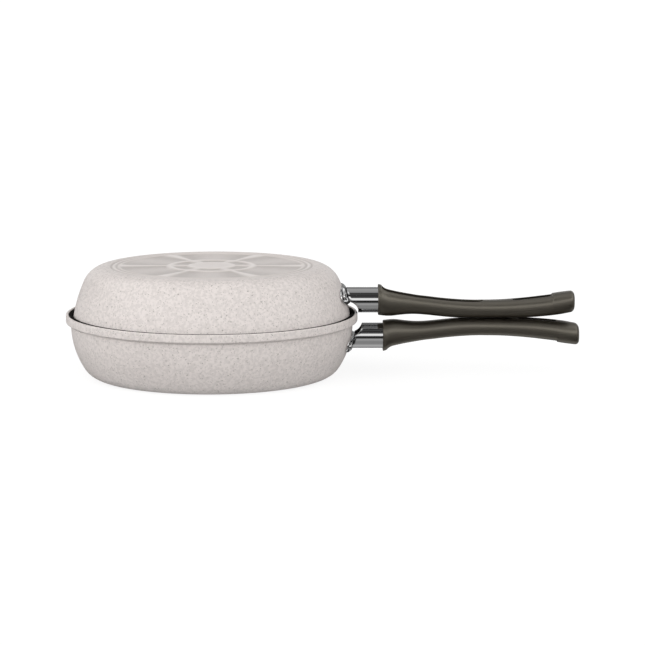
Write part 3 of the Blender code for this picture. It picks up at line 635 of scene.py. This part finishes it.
# How finely the grip is divided: stations and columns beside the edges, then even steps.
CHANNEL_OFFSETS = (-0.0011, -0.0009, -0.0007, -0.0005, -0.0003, -0.0001, 0.0001, 0.0003, 0.0005)
SLOT_OFFSETS = (0.0, 0.00004, 0.00014, 0.0003, 0.0005, 0.0008)
FIRST_STATION, STATION_STEP = 0.0015, 0.0016
NEAREST_STATIONS, NEAREST_DRAW = 0.00004, 0.0001
FLOOR_SHARES = (0.0, 0.35, 0.7)
SIDE_SHARES = [1 - step / 16 for step in range(1, 17)]
INNER_SHARES = [step / 14 for step in range(1, 15)]
EDGE_STEPS, TIP_STEPS = 5, 8
ARC_STEPS = 10
WALL_STEPS = 4
CHANNEL_RUN_OUT = 0.002
CAP_SHARES = (0.7, 0.35, 0.02)
# Where the moulding takes painted shade in its recesses: past the slot's edge and across the
# channel's, and how much less its floor takes.
SLOT_SHADE = (0.0, 0.0006)
CHANNEL_SHADE = (-0.0004, 0.0003)
FLOOR_SHADE_FADE = (-0.0006, -0.0014)
FLOOR_LESS_SHADE = 0.4


def grip_sizes(station):
    """The grip's outer and inner height and half width at a distance from the collar."""
    place = min(max(station / GRIP_LENGTH, 0), 1)
    outer, inner, width = (table_value(GRIP_OUTLINE, column, place) for column in (1, 2, 3))
    pad = float(smooth(0, 1, (station - SLOT_END) / TIP_PAD_RUN))
    return (
        outer * GRIP_RISE + pad * TIP_PAD,
        GRIP_MEETING_GAP / 2 + max(inner, 0) * GRIP_RISE,
        width * GRIP_HALF_WIDTH,
    )


def channel_width(station):
    """The channel's half width, which narrows evenly to its round end."""
    run = (station - CHANNEL_START) / (CHANNEL_END_CENTRE - CHANNEL_START)
    return lerp(CHANNEL_START_HALF_WIDTH, CHANNEL_END_HALF_WIDTH, min(max(run, 0), 1))


def channel_edge(station, offset):
    """The half width of the channel's outline moved outwards by the offset."""
    width = channel_width(station)
    past = station - CHANNEL_END_CENTRE
    if past > 0:
        return math.sqrt(max((CHANNEL_END_HALF_WIDTH + offset) ** 2 - past**2, 0))
    reach = CHANNEL_START_ROUND + offset
    before = CHANNEL_START + CHANNEL_START_ROUND - station
    if before > 0:
        return width - CHANNEL_START_ROUND + math.sqrt(max(reach**2 - before**2, 0))
    return width + offset


def channel_distance(station, across):
    """How far a place lies outside the channel's outline."""
    past = station - CHANNEL_END_CENTRE
    if past > 0:
        return math.hypot(past, across) - CHANNEL_END_HALF_WIDTH
    aside = across - (channel_width(station) - CHANNEL_START_ROUND)
    ahead = CHANNEL_START + CHANNEL_START_ROUND - station
    outside = math.hypot(max(aside, 0), max(ahead, 0)) + min(max(aside, ahead), 0)
    return outside - CHANNEL_START_ROUND


def slot_past(station):
    """How far a station lies past the centres of the slot's round ends."""
    centre_start, centre_end = SLOT_START + SLOT_HALF_WIDTH, SLOT_END - SLOT_HALF_WIDTH
    return max(centre_start - station, station - centre_end, 0)


def slot_edge(station, offset):
    return math.sqrt(max((SLOT_HALF_WIDTH + offset) ** 2 - slot_past(station) ** 2, 0))


def slot_drop(station, across):
    """How far the rounded mouth of the slot lies under the face round it."""
    distance = math.hypot(slot_past(station), across) - SLOT_HALF_WIDTH
    inward = min(max(SLOT_FILLET - distance, 0), SLOT_FILLET)
    return SLOT_FILLET - math.sqrt(SLOT_FILLET**2 - inward**2)


def grip_stations():
    """The rows of the grip: distance from the collar and how far the section is drawn in."""

    def rounding(radius, turn):
        return radius * (1 - math.sin(turn)), radius * (1 - math.cos(turn))

    places = list(np.arange(FIRST_STATION, GRIP_LENGTH - TIP_ROUND, STATION_STEP))
    for offset in CHANNEL_OFFSETS:
        places += [CHANNEL_START - offset, CHANNEL_END + offset, SLOT_START - max(offset, 0)]
    for offset in SLOT_OFFSETS:
        places += [SLOT_START - offset, SLOT_END + offset]
    for step in range(1, ARC_STEPS):
        sine = math.sin(step / ARC_STEPS * QUARTER)
        places += [
            CHANNEL_END_CENTRE + CHANNEL_END_HALF_WIDTH * sine,
            CHANNEL_START + CHANNEL_START_ROUND * (1 - sine),
            SLOT_START + SLOT_HALF_WIDTH * (1 - sine),
            SLOT_END - SLOT_HALF_WIDTH * (1 - sine),
        ]
    rows = [(place, 0.0) for place in places]
    for step in range(EDGE_STEPS + 1):
        rows.append((SLOT_END + TIP_PAD_RUN * step / EDGE_STEPS, 0.0))
        rows.append(rounding(COLLAR_ROUND, step / EDGE_STEPS * QUARTER))
    for step in range(TIP_STEPS + 1):
        back, drawn = rounding(TIP_ROUND, step / TIP_STEPS * TIP_TURN)
        rows.append((GRIP_LENGTH - back, drawn))
    rows.sort()
    kept = [rows[0]]
    for row in rows[1:]:
        fixed = min(abs(row[0] - place) for place in (SLOT_START, SLOT_END, TIP_END)) < TINY
        run, drawn = row[0] - kept[-1][0], row[1] - kept[-1][1]
        if run > NEAREST_STATIONS or drawn > NEAREST_DRAW:
            kept.append(row)
        elif fixed:
            kept[-1] = row
    return kept


def grip_ring(station, draw):
    """A row of one side of the grip: from its outer face round its side to its inner face."""
    outer, inner, width = grip_sizes(station)
    centre, half_height = (outer + inner) / 2, (outer - inner) / 2 - draw
    width -= draw

    def face(across, fullness, sign):
        share = 1 - min(across / width, 1) ** fullness
        return centre + sign * half_height * share ** (1 / fullness)

    def columns_from(edge, fullness, shares):
        """Columns at shares of the turn from the side to an edge on a face."""
        reach = math.acos(min((edge / width) ** (fullness / 2), 1))
        return [width * max(math.cos(reach * share), 0) ** (2 / fullness) for share in shares]

    columns = [channel_edge(station, CHANNEL_OFFSETS[0]) * share for share in FLOOR_SHARES]
    columns += [channel_edge(station, offset) for offset in CHANNEL_OFFSETS]
    mouth = [slot_edge(station, offset) for offset in SLOT_OFFSETS]
    columns = list(np.maximum.accumulate(np.maximum(columns + mouth, mouth[0])))
    columns += columns_from(columns[-1], OUTER_FULLNESS, SIDE_SHARES)
    ring = []
    for across in columns:
        up = face(across, OUTER_FULLNESS, 1)
        if station < CHANNEL_END + CHANNEL_RUN_OUT and draw == 0:
            distance = channel_distance(station, across)
            out = float(smooth(CHANNEL_OFFSETS[0], CHANNEL_OFFSETS[-1], distance))
            up = lerp(up, outer - CHANNEL_DEPTH, 1 - out)
        ring.append((station, across, up - slot_drop(station, across)))
    for across in columns_from(mouth[-1], INNER_FULLNESS, INNER_SHARES) + mouth[-2::-1]:
        up = face(across, INNER_FULLNESS, -1)
        ring.append((station, across, up + slot_drop(station, across)))
    return ring


def drawn_in(skin, first, outline, middle, steps):
    """Draws an outline in toward its middle, by pairs of place and scale. Gives the last row."""
    rows = [first]
    for place, scale in steps:
        points = [(place, side * scale, middle + (up - middle) * scale) for side, up in outline]
        rows.append(skin.row(points))
    skin.strips(rows)
    return rows[-1]


def grip_mesh(half):
    """Both sides of the grip, each with its part of the slot's wall, the socket and the tip."""
    skin = Skin()
    made = [grip_ring(station, draw) for station, draw in grip_stations()]
    socket_width, socket_height = FERRULE_HALF_WIDTH + GAP, FERRULE_HALF_HEIGHT + GAP
    socket_steps = ((0, 1), (SOCKET_DEPTH, 1), (SOCKET_DEPTH, CAP_SHARES[-1]))
    outer, inner, _ = grip_sizes(TIP_END)
    ends = []
    for side in (1, -1):
        rings, walls = [], []
        for ring in made:
            rings.append(skin.row([(station, side * across, up) for station, across, up in ring]))
            if SLOT_START - TINY <= ring[0][0] <= SLOT_END + TINY:
                low, high = (Vector(skin.points[rings[-1][place]]) for place in (-1, 0))
                middle = [low.lerp(high, step / WALL_STEPS) for step in range(1, WALL_STEPS)]
                walls.append([rings[-1][-1]] + skin.row(middle) + [rings[-1][0]])
        skin.strips(rings)
        skin.strips(walls)
        oval = []
        for index in rings[0]:
            _, across, up = skin.points[index]
            rise = up - HANDLE_AXIS
            away = math.hypot(across / socket_width, rise / socket_height)
            oval.append((across / away, HANDLE_AXIS + rise / away))
        socket = drawn_in(skin, rings[0], oval, HANDLE_AXIS, socket_steps)
        last = [skin.points[index][1:] for index in rings[-1]]
        cap_steps = [(TIP_END, scale) for scale in CAP_SHARES]
        cap = drawn_in(skin, rings[-1], last, (outer + inner) / 2, cap_steps)
        ends.append((cap, socket))
    for right, left in zip(*ends):
        skin.faces.append(right + left[-2:0:-1])

    def place(points):
        return half.world(points + (half.collar_x, 0, 0))

    return bored(half, skin.mesh(half.name + "_grip", place))


def bored(half, grip):
    """Cuts the tie screw's bore and the counterbore that opens into the hang slot."""
    start = Vector((half.collar_x, 0, SCREW_START_HEIGHT))
    line = Vector((half.collar_x + SLOT_START, 0, SCREW_END_HEIGHT)) - start
    low, seat = SOCKET_DEPTH / 2, line.length - COUNTERBORE_DEPTH
    high = line.length + COUNTERBORE_RADIUS
    profile = [(0, low), (SCREW_BORE, low), (SCREW_BORE, seat)]
    profile += [(COUNTERBORE_RADIUS, seat), (COUNTERBORE_RADIUS, high), (0, high)]
    body = add_object("grip_body", grip)
    cutter = add_object("grip_bore", turned(half, "grip_bore", profile, start, line))
    cut = body.modifiers.new("bore", "BOOLEAN")
    cut.operation, cut.solver, cut.object = "DIFFERENCE", "EXACT", cutter
    made = body.evaluated_get(bpy.context.evaluated_depsgraph_get())
    mesh = bpy.data.meshes.new_from_object(made)
    for piece in (body, cutter):
        bpy.data.objects.remove(piece)
    mesh.set_sharp_from_angle(angle=SMOOTH_ANGLE)
    set_attributes(mesh, ["sunk"], lambda place: (sunk(half, place),))
    return mesh


def sunk(half, place):
    """Painted shade in the recesses: 1 on the walls of the grip's channel and in its slot, less on
    the floor and 0 outside.
    """
    station, across = place.x - half.collar_x, abs(place.y)
    up = half.side * (place.z - MEETING_HEIGHT)
    outer, inner, _ = grip_sizes(station)
    slot = math.hypot(slot_past(station), across) - SLOT_HALF_WIDTH
    inside = 1 - smooth(*SLOT_SHADE, slot)
    if up > (outer + inner) / 2 and station < CHANNEL_END + CHANNEL_RUN_OUT:
        edge = channel_distance(station, across)
        floor = 1 - FLOOR_LESS_SHADE * smooth(*FLOOR_SHADE_FADE, edge)
        inside = max(inside, floor * (1 - smooth(*CHANNEL_SHADE, edge)))
    return inside


# ---------------------------------------------------------------- materials


class Nodes:
    """A short way to write a node tree."""

    def __init__(self, tree):
        self.tree = tree

    def add(self, kind, inputs=None, **settings):
        node = self.tree.nodes.new(kind)
        for name, value in settings.items():
            setattr(node, name, value)
        for key, value in (inputs or {}).items():
            self.set(node.inputs[key], value)
        return node

    def set(self, socket, value):
        if isinstance(value, bpy.types.NodeSocket):
            self.tree.links.new(value, socket)
        else:
            socket.default_value = value

    def fill(self, node, **sockets):
        """Sets sockets by their names, in which _ stands for a space."""
        for name, value in sockets.items():
            self.set(node.inputs[name.replace("_", " ")], value)

    def math(self, operation, first, second=0.0):
        return self.add("ShaderNodeMath", {0: first, 1: second}, operation=operation).outputs[0]

    def times(self, first, second):
        return self.math("MULTIPLY", first, second)

    def minus(self, first, second):
        return self.math("SUBTRACT", first, second)

    def range(self, value, low, high, to_low=0.0, to_high=1.0):
        """Maps a value smoothly from one range to another."""
        inputs = {"Value": value, 1: low, 2: high, 3: to_low, 4: to_high}
        return self.add("ShaderNodeMapRange", inputs, interpolation_type="SMOOTHSTEP").outputs[0]

    def blend(self, share, first, second, kind="MIX"):
        inputs = {0: share, 6: first, 7: second}
        return self.add("ShaderNodeMix", inputs, data_type="RGBA", blend_type=kind).outputs[2]

    def attribute(self, name):
        return self.add("ShaderNodeAttribute", attribute_name=name).outputs["Fac"]

    def noise(self, where, size, detail=2.0, roughness=0.5):
        inputs = {"Vector": where, "Scale": 1 / size, "Detail": detail, "Roughness": roughness}
        return self.add("ShaderNodeTexNoise", inputs).outputs[0]

    def bump(self, height, strength, distance):
        inputs = {"Height": height, "Strength": strength, "Distance": distance}
        return self.add("ShaderNodeBump", inputs).outputs[0]


def empty_nodes(holder):
    """The node tree of a world or a material, with nothing in it yet."""
    holder.use_nodes = True
    holder.node_tree.nodes.clear()
    return Nodes(holder.node_tree)


def new_material(name, **sockets):
    """A Principled material. It gives the material, its shader, its nodes and the place."""
    material = bpy.data.materials.new(name)
    material.use_nodes = True
    nodes = Nodes(material.node_tree)
    shader = material.node_tree.nodes["Principled BSDF"]
    nodes.fill(shader, **sockets)
    where = nodes.add("ShaderNodeTexCoord").outputs["Object"]
    return material, shader, nodes, where


def colour(red, green, blue):
    return (red, green, blue, 1.0)


def grey(value):
    return (value, value, value, 1.0)


WHITE, BLACK = grey(1.0), grey(0.0)
# The coating's specks: cell, radius, the share of cells with one, how strong, darkest, palest.
COATING_SPECKS = (
    (0.0018, 0.00050, 0.90, 0.80, colour(0.34, 0.31, 0.29), colour(0.52, 0.48, 0.46)),
    (0.0040, 0.00060, 0.50, 0.80, colour(0.24, 0.22, 0.20), colour(0.30, 0.28, 0.26)),
)


def specks(nodes, where, cell, radius, kept):
    """Spots of about the radius, one in each kept share of the cells."""
    cells = nodes.add("ShaderNodeTexVoronoi", {"Vector": where, "Scale": 1 / cell})
    chance = nodes.add("ShaderNodeSeparateColor", {"Color": cells.outputs["Color"]})
    edge = radius / cell
    size = nodes.range(chance.outputs[1], 0.0, 1.0, 0.55 * edge, 1.15 * edge)
    inside = nodes.minus(size, cells.outputs["Distance"])
    spot = nodes.range(inside, -0.10 * edge, 0.25 * edge)
    chosen = nodes.math("LESS_THAN", chance.outputs[0], kept)
    return nodes.times(spot, chosen), chance.outputs[2]


def coating_material():
    """Pale speckled non-stick coating. The relief is bare of specks, grey where sunk, with painted
    shade by the spokes and a painted highlight on its crests.
    """
    material, shader, nodes, where = new_material("speckled coating", Specular_IOR_Level=0.3)
    speckled = nodes.minus(1.0, nodes.attribute("bare"))
    # Painted shade: the relief's grey, darkest beside the spokes.
    sunk = nodes.blend(nodes.attribute("grey"), WHITE, colour(0.70, 0.69, 0.68))
    # Painted highlight on the relief's crests.
    crest = nodes.times(nodes.attribute("crest_highlight"), 0.30)
    cloud = nodes.noise(where, 0.030, 3.0)
    mottle = nodes.noise(where, 0.0025, 1.0)
    made = nodes.blend(cloud, colour(0.675, 0.624, 0.600), colour(0.715, 0.663, 0.638))
    flecks = nodes.times(nodes.range(mottle, 0.62, 0.38), speckled)
    made = nodes.blend(1.0, made, nodes.blend(flecks, WHITE, grey(0.88)), "MULTIPLY")
    for cell, radius, kept, share, dark, light in COATING_SPECKS:
        spots, tone = specks(nodes, where, cell, radius, kept)
        shown = nodes.times(nodes.times(spots, speckled), share)
        made = nodes.blend(shown, made, nodes.blend(tone, dark, light))
    made = nodes.blend(1.0, made, sunk, "MULTIPLY")
    made = nodes.blend(crest, made, colour(0.90, 0.86, 0.84))
    rough = nodes.range(nodes.noise(where, 0.004), 0.2, 0.8, 0.36, 0.46)
    bump = nodes.bump(nodes.noise(where, 0.0011), 0.18, 0.00006)
    nodes.fill(shader, Base_Color=made, Roughness=rough, Normal=bump)
    return material


def metal_material(name, tone, rough_low, rough_high, smudge, scratch):
    """Bright metal with faint smudges in its gloss and fine rubbing marks.

    Where the mesh marks it, it is rough and painted dark grey as painted shade.
    """
    material, shader, nodes, where = new_material(name, Metallic=1.0)
    rough_and_shaded = nodes.attribute("rough_and_shaded")
    stretch = nodes.add("ShaderNodeMapping", {"Vector": where, "Scale": (0.15, 1.0, 1.0)})
    rubbed = nodes.noise(stretch.outputs[0], scratch, 3.0, 0.6)
    cloud = nodes.noise(where, smudge, 3.0)
    marks = nodes.range(nodes.times(cloud, rubbed), 0.05, 0.55, rough_low, rough_high)
    rough = nodes.math("ADD", marks, nodes.times(rough_and_shaded, 0.30))
    bright = nodes.blend(rubbed, grey(0.94 * tone), grey(tone))
    # Painted shade: dark grey where the mesh marks it, in and under the ferrule.
    made = nodes.blend(rough_and_shaded, bright, grey(0.10))
    bump = nodes.bump(rubbed, 0.05, 0.00002)
    nodes.fill(shader, Base_Color=made, Roughness=rough, Normal=bump)
    return material


def moulding_material():
    """Dark warm-grey heat-proof moulding, satin, with a fine grain.

    Its recesses are darkened as painted shade. They get that through Metallic over the dark
    tone, because the export keeps Metallic and drops a linked specular level.
    """
    tint = colour(1.0, 0.93, 0.78)
    material, shader, nodes, where = new_material(
        "grip moulding", Specular_IOR_Level=1.0, IOR=1.8, Specular_Tint=tint
    )
    cloud = nodes.noise(where, 0.020, 3.0)
    grain = nodes.noise(where, 0.0007, 2.0, 0.6)
    tone = nodes.blend(cloud, colour(0.0050, 0.0034, 0.0022), colour(0.0070, 0.0048, 0.0030))
    tone = nodes.blend(nodes.range(grain, 0.35, 0.70), tone, colour(0.0090, 0.0062, 0.0040))
    # Painted shade in the recesses, through Metallic over the dark tone.
    sunk = nodes.times(nodes.attribute("sunk"), 0.90)
    rough = nodes.range(grain, 0.2, 0.8, 0.42, 0.48)
    bump = nodes.bump(grain, 0.15, 0.00005)
    nodes.fill(shader, Base_Color=tone, Metallic=sunk, Roughness=rough, Normal=bump)
    return material


def seal_material():
    """Near-black silicone with a faint bloom."""
    material, shader, nodes, where = new_material("seal rubber", Specular_IOR_Level=0.0)
    bloom = nodes.noise(where, 0.006, 3.0)
    tone = nodes.blend(bloom, grey(0.010), colour(0.022, 0.021, 0.020))
    nodes.fill(shader, Base_Color=tone, Roughness=nodes.range(bloom, 0.2, 0.8, 0.50, 0.62))
    return material


COATING = coating_material()
CHROME = metal_material("bracket chrome", 0.80, 0.04, 0.09, 0.012, 0.0006)
POLISHED = metal_material("ferrule steel", 0.52, 0.05, 0.09, 0.012, 0.0005)
FIXINGS = metal_material("fixing steel", 0.55, 0.22, 0.34, 0.006, 0.0003)
RIVETS = metal_material("rivet steel", 0.66, 0.06, 0.11, 0.004, 0.0003)
MOULDING = moulding_material()

add_piece(LOWER, "seal", seal_mesh(), seal_material())
for half, *rim in ((LOWER, LIP_CORNERS, LIP_ROUNDS), (UPPER, RIM_CORNERS, RIM_ROUNDS)):
    add_piece(half, "pan_shell", shell_mesh(half, *rim), COATING)
    add_piece(half, "handle_bracket", bracket_mesh(half), CHROME)
    for name, side in (("near", -1), ("far", 1)):
        mesh = rivet_mesh(half, side * half.side)
        add_piece(half, "rivet_" + name, mesh, RIVETS)
    add_piece(half, "ferrule", ferrule_mesh(half), POLISHED)
    add_piece(half, "handle_grip", grip_mesh(half), MOULDING)
    for name in ("tie_screw", "flat_washer", "spring_washer"):
        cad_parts[half.name + "_" + name].material_slots[0].material = FIXINGS


# ---------------------------------------------------------------- studio

# The studio round the pan, as elevation in degrees and radiance. Glossy surfaces see one set
# of walls and plain surfaces are lit by another, as softboxes and flags would be set for each.
MIRROR_FRONT = (
    (-90, 0.39), (-52, 0.41), (-30, 0.65), (-19, 0.14), (-11, 0.02), (-6, 0.024),
    (1, 0.02), (9, 1.25), (14, 1.56), (20, 1.47), (26, 1.30), (32, 0.02),
    (40, 0.14), (48, 0.02), (62, 0.11), (76, 0.027), (90, 0.44),
)
MIRROR_WIDE = (
    (-90, 0.02), (-50, 0.02), (-25, 0.02), (-8, 0.02), (4, 0.28), (14, 1.19),
    (24, 2.06), (34, 1.84), (44, 0.02), (54, 0.02), (66, 0.67), (78, 1.82),
    (90, 0.62),
)
MIRROR_BACK = (
    (-90, 0.67), (-60, 0.71), (-30, 0.02), (-16, 0.02), (-8, 0.02), (-1, 0.02),
    (8, 1.42), (20, 0.35), (34, 0.02), (48, 0.66), (64, 0.56), (90, 0.57),
)
MIRROR_SIDES = (
    (-90, 1.59), (-24, 0.17), (-14, 0.26), (-6, 0.96), (2, 0.42), (12, 0.02),
    (24, 0.02), (40, 1.00), (60, 2.00), (90, 0.29),
)
LIGHT_FRONT = ((-5, 1.93), (12, 2.22), (32, 1.88), (55, 1.09), (90, 0.30))
LIGHT_BACK = ((-5, 1.01), (20, 0.69), (50, 0.30), (90, 0.30))
LIGHT_LEFT = ((-5, 2.37), (20, 1.89), (50, 0.90), (90, 0.30))
LIGHT_RIGHT = ((-5, 1.32), (20, 1.27), (50, 0.82), (90, 0.32))
BAND_TOP = 12.0


def seen_plainly(nodes):
    """The Light Path node, and 1 on rays from the eye that mirror nothing."""
    path = nodes.add("ShaderNodeLightPath")
    outputs = path.outputs
    return path, nodes.math("MAXIMUM", outputs["Is Camera Ray"], outputs["Is Transmission Ray"])


def build_world():
    """The studio: mirrored walls on glossy rays, soft light on others, white to the eye."""
    world = bpy.data.worlds.new("studio")
    bpy.context.scene.world = world
    world.cycles.sampling_method = "NONE"
    nodes = empty_nodes(world)
    way = nodes.add("ShaderNodeTexCoord").outputs["Generated"]
    parts = nodes.add("ShaderNodeSeparateXYZ", {"Vector": way})
    across, along = parts.outputs["X"], parts.outputs["Y"]
    sine = nodes.math("ARCSINE", parts.outputs["Z"])
    elevation = nodes.math("ADD", nodes.times(sine, 1 / math.pi), 0.5)

    def ramp(name, bands):
        """A ramp over the elevation. Its stops hold the radiance as shares of the top one."""
        node = nodes.add("ShaderNodeValToRGB", {"Fac": elevation}, name=name)
        stops = node.color_ramp.elements
        while len(stops) < len(bands):
            stops.new(0.5)
        for stop, (degrees, value) in zip(stops, bands):
            stop.position = (degrees + 90) / 180
            stop.color = grey(value / BAND_TOP)
        return node.outputs["Color"]

    behind = nodes.range(along, -0.25, 0.25)
    aside = nodes.math("ABSOLUTE", across)
    near, far = nodes.range(aside, 0.08, 0.20), nodes.range(aside, 0.30, 0.60)
    facing = nodes.blend(near, ramp("front", MIRROR_FRONT), ramp("wide", MIRROR_WIDE))
    beyond = nodes.blend(far, ramp("back", MIRROR_BACK), ramp("sides", MIRROR_SIDES))
    mirrored = nodes.blend(behind, facing, beyond)

    # How far a direction points aside, as the square of the sine of its compass angle.
    square = nodes.times(across, across)
    flat = nodes.math("ADD", square, nodes.times(along, along))
    compass = nodes.math("DIVIDE", square, nodes.math("MAXIMUM", flat, 1e-6))
    to_right = nodes.math("GREATER_THAN", across, 0.0)
    to_back = nodes.math("GREATER_THAN", along, 0.0)
    ahead = nodes.blend(to_back, ramp("light front", LIGHT_FRONT), ramp("light back", LIGHT_BACK))
    left, right = ramp("light left", LIGHT_LEFT), ramp("light right", LIGHT_RIGHT)
    round_about = nodes.blend(compass, ahead, nodes.blend(to_right, left, right))

    path, plainly = seen_plainly(nodes)
    mirror = nodes.add("ShaderNodeBackground", {"Color": mirrored, "Strength": BAND_TOP})
    soft = nodes.add("ShaderNodeBackground", {"Color": round_about, "Strength": BAND_TOP})
    plain = nodes.add("ShaderNodeBackground", {"Color": WHITE, "Strength": 1.0})
    glossy = path.outputs["Is Glossy Ray"]
    lit = nodes.add("ShaderNodeMixShader", {0: glossy, 1: soft.outputs[0], 2: mirror.outputs[0]})
    made = nodes.add("ShaderNodeMixShader", {0: plainly, 1: lit.outputs[0], 2: plain.outputs[0]})
    nodes.add("ShaderNodeOutputWorld", {"Surface": made.outputs[0]})


FLOOR_HALF = 30.0
# How bright the floor is to the eye and how much shadow it takes, and what it lights with.
FLOOR_GLOW, FLOOR_SHADED, FLOOR_LIGHT = 0.82, 0.24, 0.44


def build_floor():
    """A white floor that keeps a faint shadow and lights the pan from below.

    Glossy surfaces see the world's own floor instead.
    """
    mesh = bpy.data.meshes.new("floor")
    corners = [(-1, -1), (1, -1), (1, 1), (-1, 1)]
    points = [(FLOOR_HALF * x, FLOOR_HALF * y, 0) for x, y in corners]
    mesh.from_pydata(points, [], [(0, 1, 2, 3)])
    material = bpy.data.materials.new("floor")
    nodes = empty_nodes(material)
    _, plainly = seen_plainly(nodes)
    shade = nodes.blend(plainly, BLACK, grey(FLOOR_SHADED))
    diffuse = nodes.add("ShaderNodeBsdfDiffuse", {"Color": shade})
    strength = nodes.add("ShaderNodeMix", {0: plainly, 2: FLOOR_LIGHT, 3: FLOOR_GLOW})
    glow = nodes.add("ShaderNodeEmission", {"Color": WHITE, "Strength": strength.outputs[0]})
    both = nodes.add("ShaderNodeAddShader", {0: diffuse.outputs[0], 1: glow.outputs[0]})
    nodes.add("ShaderNodeOutputMaterial", {"Surface": both.outputs[0]})
    mesh.materials.append(material)
    floor = add_object("floor", mesh)
    floor.visible_glossy = False


CAMERA_LENS = 149.02
CAMERA_PLACE = (0.0942, -2.2502, 0.3978)
CAMERA_ELEVATION = 8.915


def add_camera():
    camera = bpy.data.cameras.new("camera")
    camera.lens = CAMERA_LENS
    camera.sensor_width = 36.0
    camera.clip_end = 100.0
    holder = add_object("camera", camera)
    holder.location = CAMERA_PLACE
    holder.rotation_euler = (math.radians(90 - CAMERA_ELEVATION), 0, 0)
    bpy.context.scene.camera = holder


build_world()
build_floor()
add_camera()
bpy.context.scene.view_settings.view_transform = "Standard"
